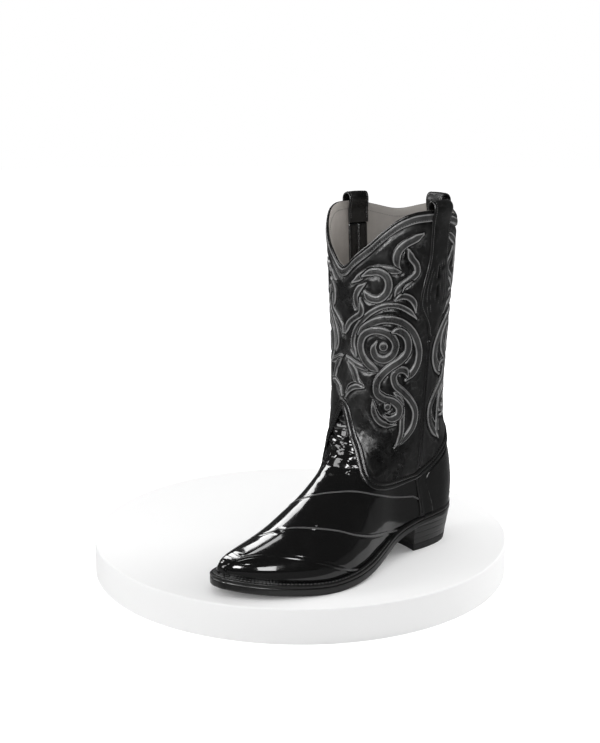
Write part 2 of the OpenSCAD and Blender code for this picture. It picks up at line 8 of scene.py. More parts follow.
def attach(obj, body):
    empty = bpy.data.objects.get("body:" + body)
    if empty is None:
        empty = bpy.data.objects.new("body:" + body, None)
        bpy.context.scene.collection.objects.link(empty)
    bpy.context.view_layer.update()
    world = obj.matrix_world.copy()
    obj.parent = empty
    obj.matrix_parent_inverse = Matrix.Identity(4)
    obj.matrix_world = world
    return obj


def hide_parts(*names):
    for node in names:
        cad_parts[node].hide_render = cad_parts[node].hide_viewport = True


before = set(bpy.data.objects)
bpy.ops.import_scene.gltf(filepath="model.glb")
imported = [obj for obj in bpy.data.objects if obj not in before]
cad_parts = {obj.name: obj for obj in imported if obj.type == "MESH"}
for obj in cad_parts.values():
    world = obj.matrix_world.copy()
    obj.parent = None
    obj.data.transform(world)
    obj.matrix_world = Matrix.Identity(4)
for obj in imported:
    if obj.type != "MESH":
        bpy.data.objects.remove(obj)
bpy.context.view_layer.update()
MM = 0.001

# ---------------------------------------------------------------- the boot's skin
# Height of the welt line, by distance from the heel
EDGE_Z = [(0, 43), (25, 41.5), (50, 39.5), (75, 36.5), (92, 33), (110, 27.5), (130, 21), (150, 16),
          (170, 13), (190, 11.5), (203, 10.95), (218, 11.3), (240, 12.7), (265, 15.2), (292, 19), (300, 20.2)]
# Half width of the upper at the welt on the left and on the right, by distance from the heel
EDGE_X = [(4, 20, -20), (12, 27, -27), (28, 34, -33), (50, 37, -34), (78, 37, -32), (105, 39, -29),
          (130, 47, -29), (155, 56, -31), (178, 61.5, -34), (198, 62, -34.5), (218, 57.5, -33),
          (238, 48, -28.5), (254, 38.5, -23), (266, 29.5, -18),
          (276, 19.5, -12.5), (283, 10, -7), (286, 3.5, -3), (286.5, 0, -1)]
# Sections of the boot: share of the rise, then distance and height of the ridge, of the side and of
# the back, then half width of the leg on the left and on the right
RINGS = [(0.00, 286.5, 19.5, 80, 36, 6, 42, 46, 46), (0.04, 285, 24.5, 80, 40, 5, 47, 46, 46),
         (0.08, 280.5, 29, 80, 46, 4.5, 53, 46, 46), (0.12, 271.5, 33, 80, 51, 4.5, 60, 46, 46),
         (0.16, 259, 37, 80, 57, 5, 67, 46, 46), (0.20, 241, 43.5, 80, 63, 6.5, 75, 46, 46),
         (0.24, 220, 53.5, 80, 70, 9, 84, 46, 46), (0.28, 200, 68, 80, 78, 12, 94, 46, 47),
         (0.33, 176, 86.5, 80, 88, 16.5, 107, 46, 48), (0.38, 155, 107, 81, 103, 19.5, 121, 46.5, 49.5),
         (0.44, 144, 129, 83, 124, 23, 140, 47.5, 51), (0.50, 140, 151, 84, 146, 25, 160, 49, 52),
         (0.60, 138, 190, 84, 188, 25, 196, 52, 54), (0.75, 139.5, 250, 83, 250, 22.5, 254, 56.5, 57.5),
         (0.90, 142.5, 309, 82, 309, 19, 309, 60, 61), (1.00, 145, 348, 82, 348, 18, 348, 62.5, 63),
         (1.08, 147, 379, 82, 379, 17, 379, 64, 64.5)]
# Joint of foot and leg: turns round the boot from the toe, share of the rise
JOINT = [(0, 0.518), (0.015, 0.505), (0.04, 0.462), (0.07, 0.415), (0.1, 0.374), (0.13, 0.342),
         (0.17, 0.314), (0.21, 0.298), (0.25, 0.302), (0.29, 0.316), (0.33, 0.336), (0.42, 0.378),
         (0.5, 0.41)]
# Dip of the top edge: turns from the toe, share of the front scallop, share of the back dip
SCALLOP = [(0, 1, 0), (0.012, 0.97, 0), (0.04, 0.8, 0), (0.085, 0.55, 0), (0.12, 0.32, 0), (0.155, 0.13, 0),
           (0.19, 0.03, 0), (0.23, 0, 0), (0.27, 0, 0), (0.32, 0, 0.5), (0.38, 0, 1), (0.44, 0, 0.5),
           (0.48, 0, 0.1), (0.5, 0, 0)]
TOP, SCALLOP_DEPTH, BACK_DIP = 342.0, 53.0, 9.0
LEFT, BACK = 0.2575, 0.5
RIGHT = 1 - LEFT
SHIFT = np.array([-0.2, 148.65, 0.0])
FOOT_WALL, LEG_WALL = 4.4, 2.9
LEATHER_BACK = 1.45  # depth of the back of the outer leather under the skin
JOINT_GAP = 0.004    # share of the rise left free on each side of the joint
PER_TURN = 360       # mm of leg pattern for one turn
ROUGH_MM = 330       # nominal mm for one turn or one rise, for borders and fades


def curve(table, t):
    """Smooth curve through rows (t, values...): cubic Hermite with distance-weighted slopes."""
    tab = np.asarray(table, float)
    x, y = tab[:, 0], tab[:, 1:]
    t = np.clip(np.asarray(t, float), x[0], x[-1])
    dx = np.diff(x)[:, None]
    d = np.diff(y, axis=0) / dx
    m = np.vstack([d[:1], (d[1:] * dx[:-1] + d[:-1] * dx[1:]) / (dx[:-1] + dx[1:]), d[-1:]])
    i = np.clip(np.searchsorted(x, t, side="right") - 1, 0, len(x) - 2)
    h = (x[i + 1] - x[i])[..., None]
    s = (t - x[i])[..., None] / h
    return ((2 * s**3 - 3 * s**2 + 1) * y[i] + (s**3 - 2 * s**2 + s) * h * m[i]
            + (3 * s**2 - 2 * s**3) * y[i + 1] + (s**3 - s**2) * h * m[i + 1])


def run_of(p):
    """Length along a path up to each of its points: the running sum of the chord lengths."""
    return np.concatenate([[0], np.cumsum(np.linalg.norm(np.diff(p, axis=0), axis=1))])


def unit(a):
    """Vectors divided by their lengths."""
    return a / np.maximum(np.linalg.norm(a, axis=-1, keepdims=True), 1e-9)


def from_ends(n):
    """For each of n rows, how many rows it is from the nearer end."""
    return np.minimum(np.arange(n), np.arange(n)[::-1])


def ease(t):
    """Smooth step: 3 t^2 - 2 t^3, held at 0 and 1 outside."""
    t = np.clip(t, 0, 1)
    return t * t * (3 - 2 * t)


RIDGE = [(r[1], r[2]) for r in RINGS[:11]][::-1]


def skin(u, v):
    """Point of the outer leather: u turns round the boot (0 toe, 0.25 left, 0.5 heel), v rises from the
    welt to the top. Rings give distance and height, outlines give width; the section closes over the
    ridge as sqrt(1 - t^p), and eases into a round leg above the ankle."""
    u, v = np.broadcast_arrays(np.asarray(u, float), np.asarray(v, float))
    a = 2 * np.pi * u
    a = a + math.radians(6.5) * (1 - ease(v / 0.45)) * np.sin(a)
    c, s = np.cos(a), np.sin(a)
    q = curve(RINGS, v)
    lr, zr, ls, zs, lb, zh, wl, wr = [q[..., i] for i in range(8)]
    zr = np.where(v < 0.44, curve(RIDGE, lr)[..., 0], zr)
    r0 = RINGS[0]
    front = c >= 0
    l = np.where(front, ls + (lr - ls) * c, ls + (ls - lb) * c)
    z = np.where(front, zs + (zr - zs) * c, zs - (zh - zs) * c)
    l0 = np.where(front, r0[3] + (r0[1] - r0[3]) * c, r0[3] + (r0[3] - r0[5]) * c)
    z0 = np.where(front, r0[4] + (r0[2] - r0[4]) * c, r0[4] - (r0[6] - r0[4]) * c)
    z = z + (1 - ease(v / 0.28)) * (curve(EDGE_Z, l0)[..., 0] - z0)
    m = ease((v - 0.26) / 0.21)
    w = curve(EDGE_X, np.maximum(l, 4))
    mid, half = (w[..., 0] + w[..., 1]) / 2, (w[..., 0] - w[..., 1]) / 2
    zb = curve(EDGE_Z, l)[..., 0]
    ridge = np.where(l < RIDGE[0][0], RIDGE[0][1] + (RIDGE[0][0] - l) * 4, curve(RIDGE, l)[..., 0])
    zw = zb + np.interp(l, [200, 250, 275, 286.5], [6, 4.5, 3, 0.3])
    t = np.clip((z - zw) / np.maximum(ridge - zw, 0.001), 0, 1)
    d = np.sqrt(np.clip(1 - t ** np.interp(l, [80, 140, 190, 265, 285], [1.5, 1.6, 1.9, 2.2, 2.4]), 0, None))
    h = np.clip((45 - l) / (45 - lb), 0, 1)
    e = np.sqrt(np.clip(1 - h**2.2, 0, None))
    g = 1 + 0.05 * np.clip((z - zb) / 30, 0, 1) * np.clip((60 - l) / 30, 0, 1)
    foot = mid * e + np.sign(s) * half * d * e * g
    leg = np.where(s >= 0, wl, wr) * s
    return np.stack([foot + (leg - foot) * m, -l, z], -1)


def out_of(u, v):
    """Unit normal of the skin, from central differences along u and v."""
    du = skin(u + 0.002, v) - skin(u - 0.002, v)
    dv = skin(u, v + 0.003) - skin(u, np.maximum(0, v - 0.003))
    return unit(np.cross(du, dv))


def at(u, v, o=0.0):
    """Skin point moved o mm along its normal, in the floor frame, in mm."""
    u, v = np.broadcast_arrays(np.asarray(u, float), np.asarray(v, float))
    return skin(u, v) + np.asarray(o, float)[..., None] * out_of(u, v) + SHIFT


LEG_RISE = np.linspace(0.42, 1.08, 661)
LEG_HEIGHT = curve(RINGS, LEG_RISE)[:, 3]


def v_of(z):
    """Share of the rise at a height on the side of the leg, read back from the rings."""
    return np.interp(z, LEG_HEIGHT, LEG_RISE)


def fold(u):
    """Turn folded about the front and back centre lines, so that it runs from 0 to a half."""
    w = np.mod(u, 1.0)
    return np.where(w > 0.5, 1 - w, w)


def joint(u):
    """Share of the rise where foot and leg meet, the same on both sides."""
    return curve(JOINT, fold(u))[..., 0]


def top_z(u):
    """Height of the top edge: the full height less the front scallop and the dip at the back."""
    q = curve(SCALLOP, fold(u))
    return TOP - np.maximum(0, q[..., 0]) * SCALLOP_DEPTH - np.maximum(0, q[..., 1]) * BACK_DIP


def top(u):
    """Share of the rise at the top edge."""
    return v_of(top_z(u))


def per_u(u, v):
    """Length in mm of the skin for one turn, from a central difference."""
    return np.linalg.norm(skin(u + 0.003, v) - skin(u - 0.003, v), axis=-1) / 0.006


def per_v(u, v):
    """Length in mm of the skin for one whole rise, from a central difference."""
    return np.linalg.norm(skin(u, v + 0.005) - skin(u, v - 0.005), axis=-1) / 0.01


# ---------------------------------------------------------------- meshes
def finish_piece(name, verts, faces, material, node=(), slot=None, sharp=50, floats=None):
    """Makes a mesh object from points in mm and a list of faces, and hangs it on the boot."""
    me = bpy.data.meshes.new(name)
    me.from_pydata((np.asarray(verts) * MM).tolist(), [], faces)
    me.polygons.foreach_set("use_smooth", [True] * len(me.polygons))
    for key, values in (floats or {}).items():
        a = me.attributes.new(key, "FLOAT", "POINT")
        a.data.foreach_set("value", np.asarray(values, np.float32).ravel())
    me.validate()
    if sharp:
        me.set_sharp_from_angle(angle=math.radians(sharp))
    ob = bpy.data.objects.new(name, me)
    bpy.context.collection.objects.link(ob)
    me.materials.append(material)
    if node:
        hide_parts(*([node] if isinstance(node, str) else node))
    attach(ob, "root")
    return ob


def quads(a, b, c, d):
    """List of four-sided faces from four arrays of corner numbers."""
    return np.stack([a, b, c, d], -1).reshape(-1, 4).tolist()


def ring_faces(m, n):
    """Four-sided faces between m closed rings of n points, each ring joined to the next."""
    i, j = np.arange(m - 1)[:, None], np.arange(n)[None]
    j2 = (j + 1) % n
    return quads(i * n + j, (i + 1) * n + j, (i + 1) * n + j2, i * n + j2)


def joined(parts):
    """Several meshes (points, faces) as one: the faces move on by the number of points before them."""
    faces, base = [], 0
    for verts, part in parts:
        faces += [[k + base for k in f] for f in part]
        base += len(verts)
    return np.vstack([verts for verts, _ in parts]), faces


def shell(outer, inner, ring=False, every=1):
    """Closed solid between two grids (rows i along, j across). The back uses every n-th j, and the
    side walls join the two as many-sided faces."""
    n, m = outer.shape[:2]
    js = list(range(0, m - 1, every)) + [m - 1]
    inner = inner[:, js]
    k = len(js)
    off = n * m
    verts = np.vstack([outer.reshape(-1, 3), inner.reshape(-1, 3)])
    i = np.arange(n if ring else n - 1)[:, None]
    i2 = (i + 1) % n
    j = np.arange(m - 1)[None, :]
    faces = quads(i * m + j, i2 * m + j, i2 * m + j + 1, i * m + j + 1)
    j = np.arange(k - 1)[None, :]
    faces += quads(off + i * k + j, off + i * k + j + 1, off + i2 * k + j + 1, off + i2 * k + j)
    i, i2 = i[:, 0], i2[:, 0]
    faces += quads(i * m, off + i * k, off + i2 * k, i2 * m)
    faces += quads(i * m + m - 1, i2 * m + m - 1, off + i2 * k + k - 1, off + i * k + k - 1)
    if not ring:
        for a in range(k - 1):
            span = list(range(js[a], js[a + 1] + 1))
            faces.append(span + [off + a + 1, off + a])
            e = (n - 1) * m
            f = off + (n - 1) * k
            faces.append([e + s for s in span[::-1]] + [f + a, f + a + 1])
    return verts, faces


def even(path, step, normals=None):
    """Resamples a path at an even step; returns points, tangents, normals and arc length."""
    p = np.asarray(path, float)
    s = run_of(p)
    n = max(2, int(round(s[-1] / step)))
    q = np.linspace(0, s[-1], n + 1)
    out = np.stack([np.interp(q, s, p[:, k]) for k in range(3)], -1)
    t = unit(np.gradient(out, axis=0))
    nn = None
    if normals is not None:
        nn = unit(np.stack([np.interp(q, s, np.asarray(normals)[:, k]) for k in range(3)], -1))
    return out, t, nn, q


def thread_pads(p, t, n, length, width, height, lean=0.0):
    """One low arched pad of thread at each point p, along its tangent t turned by lean degrees about its
    normal n: four cross sections of five points, largest in the middle."""
    k = np.array([-1, -0.45, 0.45, 1.0])
    prof = np.array([0.35, 1.0, 1.0, 0.35])
    a = np.linspace(0, 2 * np.pi, 5, endpoint=False) + 0.3
    b = unit(np.cross(n, t))
    c, s = math.cos(math.radians(lean)), math.sin(math.radians(lean))
    d, e = c * t + s * b, c * b - s * t
    g = (p[:, None, None] + (k * length / 2)[None, :, None, None] * d[:, None, None]
         + (prof[:, None] * np.cos(a) * width / 2)[None, :, :, None] * e[:, None, None]
         + (prof[:, None] * (0.5 + 0.5 * np.sin(a)) * height)[None, :, :, None] * n[:, None, None])
    q = np.arange(len(p))[:, None, None] * 20
    i, j = np.arange(3)[None, :, None] * 5, np.arange(5)[None, None, :]
    j2 = (j + 1) % 5
    f = np.stack(np.broadcast_arrays(q + i + j, q + i + j2, q + i + 5 + j2, q + i + 5 + j), -1)
    caps = np.arange(len(p))[:, None] * 20
    return g.reshape(-1, 3), (f.reshape(-1, 4).tolist() + (caps + np.arange(5)[None, ::-1]).tolist()
                              + (caps + 15 + np.arange(5)[None]).tolist())


def stitches(rows, pitch, length, width, height, lean=0.0):
    """Thread pads at an even pitch along rows of (points, normals)."""
    parts = [even(path, pitch, nrm)[:3] for path, nrm in rows]
    p, t, n = (np.vstack([q[k][:-1] for q in parts]) for k in range(3))
    return thread_pads(p, t, n, length, width, height, lean)


def on_skin(us, vs, o=0.0):
    """Points moved o mm off the skin, and the normals there."""
    us, vs = np.broadcast_arrays(np.asarray(us, float), np.asarray(vs, float))
    return at(us, vs, np.broadcast_to(np.asarray(o, float), us.shape)), out_of(us, vs)


def wave(p, scale, seed, octaves=3):
    """Smooth noise in space: a sum of sine waves in seeded directions, each octave half as long."""
    r = np.random.default_rng(seed)
    out = np.zeros(p.shape[:-1])
    for o in range(octaves):
        for _ in range(5):
            k = r.normal(size=3)
            k *= 2 * np.pi / (scale * 0.5**o) / np.linalg.norm(k)
            out += 0.5**o * np.sin(p @ k + r.uniform(0, 6.28))
    return out / 4.0


# ---------------------------------------------------------------- finishes
class Net:
    """Short hand for a node tree: add a node, set or link its inputs by name."""

    def __init__(self, tree):
        """Keeps the tree to build in."""
        self.t = tree

    def add(self, kind, inputs=None, **props):
        """New node; inputs are linked where the value is a socket and set where it is a number."""
        n = self.t.nodes.new(kind)
        for k, v in props.items():
            setattr(n, k, v)
        for k, v in (inputs or {}).items():
            if isinstance(v, bpy.types.NodeSocket):
                self.t.links.new(v, n.inputs[k])
            else:
                n.inputs[k].default_value = v
        return n

    def math(self, op, a, b=0.0, c=0.0, clamp=False):
        """Math node on up to three values."""
        n = self.add("ShaderNodeMath", {0: a, 1: b, 2: c}, operation=op)
        n.use_clamp = clamp
        return n.outputs[0]

    def span(self, value, a, b, c=0.0, d=1.0, smooth=True):
        """Maps a to b onto c to d, with a smooth step unless told otherwise."""
        n = self.add("ShaderNodeMapRange", {0: value, 1: a, 2: b, 3: c, 4: d})
        n.interpolation_type = "SMOOTHSTEP" if smooth else "LINEAR"
        return n.outputs[0]

    def mix(self, f, a, b):
        """Mixes colours a and b by f."""
        n = self.add("ShaderNodeMix", data_type="RGBA")
        for k, v in ((0, f), (6, a), (7, b)):
            if isinstance(v, bpy.types.NodeSocket):
                self.t.links.new(v, n.inputs[k])
            else:
                n.inputs[k].default_value = v
        return n.outputs[2]

    def mm(self, stretch=(1, 1, 1)):
        """Object coordinates in mm, stretched along each axis."""
        c = self.add("ShaderNodeTexCoord").outputs["Object"]
        return self.add("ShaderNodeMapping", {0: c, 3: [1000 * k for k in stretch]}).outputs[0]

    def noise(self, place, size, detail=4.0, rough=0.55, twist=0.0):
        """Noise whose largest features are about size mm."""
        n = self.add("ShaderNodeTexNoise", {"Vector": place, "Scale": 1.0 / size, "Detail": detail,
                                            "Roughness": rough, "Distortion": twist})
        return n.outputs["Fac"]

    def attr(self, name):
        """A float stored on the mesh."""
        return self.add("ShaderNodeAttribute", attribute_name=name).outputs["Fac"]


def group(name, inputs, outputs, build):
    """A shader node group with float inputs {name: value} and named float outputs."""
    g = bpy.data.node_groups.new(name, "ShaderNodeTree")
    for key, value in inputs.items():
        g.interface.new_socket(name=key, in_out="INPUT", socket_type="NodeSocketFloat").default_value = value
    for key in outputs:
        g.interface.new_socket(name=key, in_out="OUTPUT", socket_type="NodeSocketFloat")
    net = Net(g)
    ins = net.add("NodeGroupInput")
    out = net.add("NodeGroupOutput")
    for key, socket in build(net, ins.outputs).items():
        g.links.new(socket, out.inputs[key])
    return g


def build_grain(n, i):
    """Pores and pebbles of tanned leather: cells of the given size, broken by finer noise."""
    c = n.mm()
    size = i["Size"]
    inv = n.math("DIVIDE", 1.0, size)
    cells = n.add("ShaderNodeTexVoronoi", {"Vector": c, "Scale": inv}, feature="DISTANCE_TO_EDGE")
    pebble = n.span(cells.outputs["Distance"], 0.0, 0.35)
    fine = n.noise(c, 0.5, 3.0)
    broad = n.noise(c, 9.0, 3.0, 0.6)
    height = n.math("ADD", n.math("MULTIPLY", pebble, i["Pebble"]), n.math("MULTIPLY", fine, i["Fine"]))
    return {"Height": height, "Pores": pebble, "Broad": broad}


def build_burnish(n, i):
    """Hand burnishing: slow clouds, streaks along the leg, and thin pale veins where creases were rubbed."""
    c = n.mm()
    tall = n.mm((1, 1, 0.45))
    cloud = n.noise(tall, 24.0, 6.0, 0.62, 0.6)
    patch = n.noise(c, 6.0, 5.0, 0.6, 0.4)
    warp = n.add("ShaderNodeVectorMath", {0: c, 1: n.add("ShaderNodeVectorMath", {
        0: n.add("ShaderNodeTexNoise", {"Vector": c, "Scale": 0.12, "Detail": 3.0}).outputs["Color"],
        1: (9.0, 9.0, 9.0)}, operation="MULTIPLY").outputs[0]}, operation="ADD").outputs[0]
    vein = n.add("ShaderNodeTexVoronoi", {"Vector": warp, "Scale": 0.13}, feature="DISTANCE_TO_EDGE")
    line = n.span(vein.outputs["Distance"], 0.0, 0.05, 1.0, 0.0)
    keep = n.span(n.noise(c, 15.0, 2.0), 0.42, 0.62)
    tone = n.span(n.math("ADD", n.math("MULTIPLY", cloud, 0.65), n.math("MULTIPLY", patch, 0.35)), 0.36, 0.66)
    return {"Tone": tone, "Vein": n.math("MULTIPLY", line, keep), "Patch": patch}


def build_bands(n, i):
    """Scroll work from the mesh's edge (mm inside a band) and along (mm down the band): band, painted
    shade in the channel beside it, a painted highlight on the rim just inside its edge, rows of stitches
    that follow both edges, and a bump height from the stitches."""
    e, s = n.attr("edge"), n.attr("along")
    band = n.span(e, -0.15, 0.2)
    # painted shade: darkest in the groove just outside a band's edge, fading out over about 2 mm
    channel = n.math("MULTIPLY", n.span(e, -2.6, -0.4), n.span(e, -0.2, 0.3, 1.0, 0.0))
    # painted highlight: a pale line just inside a band's edge, where its rounded rim would catch the light
    rim = n.math("MULTIPLY", n.span(e, 0.0, 0.5), n.span(e, 0.9, 1.7, 1.0, 0.0))
    rows = n.math("PINGPONG", n.math("SUBTRACT", e, i["First"]), n.math("MULTIPLY", i["Row"], 0.5))
    line = n.span(rows, 0.0, n.math("MULTIPLY", i["Row"], 0.3), 1.0, 0.0)
    row = n.math("MULTIPLY", line, n.span(e, 0.9, 1.3))
    beat = n.math("PINGPONG", s, n.math("MULTIPLY", i["Pitch"], 0.5))
    dot = n.span(beat, n.math("MULTIPLY", i["Pitch"], 0.08), n.math("MULTIPLY", i["Pitch"], 0.24))
    stitch = n.math("MULTIPLY", row, dot)
    return {"Band": band, "Channel": channel, "Rim": rim, "Stitch": stitch,
            "Height": n.math("MULTIPLY", stitch, 0.3)}


def build_scuffs(n, i):
    """Handling marks: soft smears and a few thin scratches, from stretched noise."""
    c = n.mm()
    smear = n.span(n.noise(c, 18.0, 5.0, 0.65, 1.0), 0.4, 0.72)
    thin = n.noise(n.mm((0.25, 0.25, 2.2)), 2.6, 4.0, 0.7, 0.3)
    mark = n.math("MULTIPLY", n.span(thin, i["Rarity"], 0.82), smear)
    dust = n.span(n.noise(c, 0.9, 2.0, 0.5), 0.66, 0.74)
    return {"Smear": smear, "Mark": mark, "Dust": dust}


GRAIN = group("leather_grain", {"Size": 1.1, "Pebble": 0.5, "Fine": 0.5},
              ["Height", "Pores", "Broad"], build_grain)
BURNISH = group("burnish", {}, ["Tone", "Vein", "Patch"], build_burnish)
BANDS = group("scroll_bands", {"First": 1.9, "Row": 1.2, "Pitch": 1.5},
              ["Band", "Channel", "Rim", "Stitch", "Height"], build_bands)
SCUFFS = group("scuffs", {"Rarity": 0.62}, ["Smear", "Mark", "Dust"], build_scuffs)


def use(n, g, **values):
    """Places a node group, sets the inputs given and returns its outputs."""
    node = n.add("ShaderNodeGroup", node_tree=g)
    for k, v in values.items():
        node.inputs[k].default_value = v
    return node.outputs


def finish(name, build, **sockets):
    """A material: build(net) gives the varying inputs of the shader, sockets the constant ones."""
    m = bpy.data.materials.new(name)
    m.use_nodes = True
    m.node_tree.nodes.clear()
    n = Net(m.node_tree)
    b = n.add("ShaderNodeBsdfPrincipled")
    for k, v in sockets.items():
        b.inputs[k.replace("_", " ")].default_value = v
    for k, v in build(n).items():
        n.t.links.new(v, b.inputs[k])
    n.t.links.new(b.outputs[0], n.add("ShaderNodeOutputMaterial").inputs[0])
    return m


def bump(n, height, depth, strength=1.0):
    """Bump of the given depth in mm."""
    node = n.add("ShaderNodeBump", {"Height": height, "Distance": depth * MM, "Strength": strength})
    return node.outputs[0]


def grey(v, warm=0.0):
    """Grey of brightness v, made warm by raising red and lowering blue by the same share."""
    return (v * (1 + warm), v, v * (1 - warm), 1.0)


def gloss(n):
    """Polished leather: near black, soft wobble under fine pores, rougher where it was handled."""
    g, f = use(n, GRAIN, Size=1.6, Pebble=0.35, Fine=0.25), use(n, SCUFFS, Rarity=0.6)
    wobble = n.noise(n.mm(), 13.0, 3.0, 0.5)
    h = n.math("ADD", n.math("MULTIPLY", g["Height"], 0.025), n.math("MULTIPLY", wobble, 0.35))
    rough = n.math("ADD", n.span(f["Smear"], 0, 1, 0.1, 0.17), n.math("MULTIPLY", f["Mark"], 0.08))
    marked = n.math("MULTIPLY", f["Mark"], 0.2)
    colour = n.mix(marked, n.mix(g["Broad"], grey(0.003), grey(0.006)), grey(0.03))
    return {"Base Color": colour, "Roughness": rough, "Normal": bump(n, h, 0.22)}


def burnished(n, bands=True):
    """Rubbed leather: tone from the clouds, pale veins, and the scroll bands where asked, with painted
    shade in the channels beside them and a painted highlight on their rims; without bands, painted shade
    in the slits marked by the mesh's edge float.
    """
    g, t = use(n, GRAIN, Size=1.0, Pebble=0.55, Fine=0.5), use(n, BURNISH)
    dark, light, vein = (0.0015, 0.015, 0.4) if bands else (0.002, 0.011, 0.2)
    base = n.mix(t["Tone"], grey(dark), grey(light))
    base = n.mix(n.math("MULTIPLY", t["Vein"], vein), base, grey(0.1))
    rough = n.span(t["Tone"], 0, 1, 0.27, 0.42)
    h = n.math("ADD", n.math("MULTIPLY", g["Height"], 0.18), n.math("MULTIPLY", t["Patch"], 0.8))
    if bands:
        b = use(n, BANDS)
        # painted shade: the groove beside each band darkened towards black
        base = n.mix(n.math("MULTIPLY", b["Channel"], 0.9), base, grey(0.001))
        base = n.mix(b["Band"], base, n.mix(t["Tone"], grey(0.009), grey(0.05)))
        # painted highlight: the band's rim lightened towards pale grey, more where the tone is light
        base = n.mix(n.math("MULTIPLY", b["Rim"], n.span(t["Tone"], 0, 1, 0.5, 0.95)), base, grey(0.38))
        base = n.mix(n.math("MULTIPLY", b["Stitch"], 0.3), base, grey(0.16))
        h = n.math("ADD", h, b["Height"])
    else:
        # painted shade: the strap's slits, stored as its edge float, darkened towards black
        base = n.mix(n.attr("edge"), base, grey(0.0006))
    return {"Base Color": base, "Roughness": rough, "Normal": bump(n, h, 0.28)}


def plain_leather(lo, hi, r0, r1, depth=0.2, warm=0.0, size=1.2):
    """Leather between two greys and two roughnesses, with pores of the given depth and size."""
    def build(n):
        g, f = use(n, GRAIN, Size=size), use(n, SCUFFS)
        colour = n.mix(g["Broad"], grey(lo, warm), grey(hi, warm))
        colour = n.mix(n.math("MULTIPLY", f["Mark"], 0.5), colour, grey(min(1, hi * 2.2 + 0.02), warm))
        return {"Base Color": colour, "Roughness": n.span(f["Smear"], 0, 1, r0, r1),
                "Normal": bump(n, g["Height"], depth)}
    return build


def sole_edge(n):
    """Dyed sole edge: streaks that lie along the layers, with few marks."""
    f = use(n, SCUFFS, Rarity=0.5)
    streak = n.noise(n.mm((0.08, 0.08, 1.8)), 1.4, 4.0, 0.6)
    colour = n.mix(n.span(streak, 0.3, 0.8), grey(0.007), grey(0.013, 0.04))
    colour = n.mix(n.math("MULTIPLY", f["Mark"], 0.2), colour, grey(0.06, 0.06))
    return {"Base Color": colour, "Roughness": n.span(f["Smear"], 0, 1, 0.28, 0.42),
            "Normal": bump(n, streak, 0.012)}


def sole_bottom(n):
    """Walked sole: dull leather with pale scratches."""
    g, f = use(n, GRAIN, Size=0.8), use(n, SCUFFS, Rarity=0.52)
    colour = n.mix(g["Broad"], grey(0.012), grey(0.03, 0.04))
    colour = n.mix(n.math("MULTIPLY", f["Mark"], 0.8), colour, grey(0.13, 0.08))
    return {"Base Color": colour, "Roughness": n.span(f["Smear"], 0, 1, 0.35, 0.55),
            "Normal": bump(n, g["Height"], 0.15)}


def spun(lo, hi, warm=0.0, r=0.5):
    """Thread between two greys: twist sets roughness and bump, soil sets colour."""
    def build(n):
        twist = n.noise(n.mm((1, 1, 1)), 0.35, 2.0)
        soil = n.noise(n.mm(), 12.0, 3.0)
        return {"Base Color": n.mix(soil, grey(lo, warm), grey(hi, warm)),
                "Roughness": n.span(twist, 0, 1, r - 0.08, r + 0.1), "Normal": bump(n, twist, 0.08)}
    return build


def board(lo, hi, warm):
    """Pressed fibre between two warm greys, dull all over."""
    def build(n):
        fibre = n.noise(n.mm((1, 1, 3)), 1.2, 4.0)
        return {"Base Color": n.mix(fibre, grey(lo, warm), grey(hi, warm)),
                "Roughness": n.span(fibre, 0, 1, 0.75, 0.95), "Normal": bump(n, fibre, 0.15)}
    return build


def metal(colour_a, colour_b, r0, r1):
    """Ground metal between two colours, with grinding marks in the roughness."""
    def build(n):
        grind = n.noise(n.mm((0.2, 3, 3)), 1.0, 3.0)
        return {"Base Color": n.mix(grind, colour_a, colour_b), "Roughness": n.span(grind, 0, 1, r0, r1)}
    return build


FINISH = {
    "gloss_leather": finish("gloss_leather", gloss, Coat_Weight=0.8, Coat_Roughness=0.05, IOR=1.5),
    "burnished_leather": finish("burnished_leather", burnished, Coat_Weight=0.3, Coat_Roughness=0.22),
    "trim_leather": finish("trim_leather", plain_leather(0.004, 0.012, 0.14, 0.26, 0.12), Coat_Weight=0.5,
                           Coat_Roughness=0.1),
    "strap_leather": finish("strap_leather", lambda n: burnished(n, False), Coat_Weight=0.5,
                            Coat_Roughness=0.16),
    "lining_leather": finish("lining_leather", plain_leather(0.34, 0.44, 0.55, 0.7, 0.14, 0.07)),
    "stiff_board": finish("stiff_board", board(0.22, 0.32, 0.2)),
    "insole_leather": finish("insole_leather", plain_leather(0.2, 0.28, 0.55, 0.7, 0.15, 0.12)),
    "cork": finish("cork", board(0.2, 0.36, 0.3)),
    "steel": finish("steel", metal(grey(0.45), grey(0.6), 0.25, 0.4), Metallic=1.0),
    "sole_leather": finish("sole_leather", sole_edge, Coat_Weight=0.3, Coat_Roughness=0.2),
    "sole_bottom": finish("sole_bottom", sole_bottom),
    "thread": finish("thread", spun(0.12, 0.2)),
    "pale_thread": finish("pale_thread", spun(0.38, 0.52)),
    "dark_thread": finish("dark_thread", spun(0.02, 0.035)),
    "heel_leather": finish("heel_leather", sole_edge, Coat_Weight=0.25, Coat_Roughness=0.25),
    "rubber": finish("rubber", plain_leather(0.008, 0.014, 0.5, 0.62, 0.1)),
    "brass": finish("brass", metal((0.75, 0.52, 0.22, 1), (0.6, 0.4, 0.16, 1), 0.2, 0.35), Metallic=1.0),
}

SLOT_OF = {"toe_box": "stiff_board", "counter_stiffener": "stiff_board", "shank": "steel",
           "cork_filler": "cork", "heel_nails": "brass"}
for node_name, slot_name in SLOT_OF.items():
    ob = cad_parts[node_name]
    ob.data.materials.clear()
    ob.data.materials.append(FINISH[slot_name])


def piece(name, mesh, look, **options):
    """A piece that takes the place of the CAD node of its name. Its look names its slot as well."""
    return finish_piece(name, *mesh, FINISH[look], name, look, **options)


def sewing(name, mesh, look="thread", node=()):
    """A piece made of thread, smooth all over. It replaces a CAD node only where one is given."""
    return finish_piece(name, *mesh, FINISH[look], node, "thread", sharp=0)


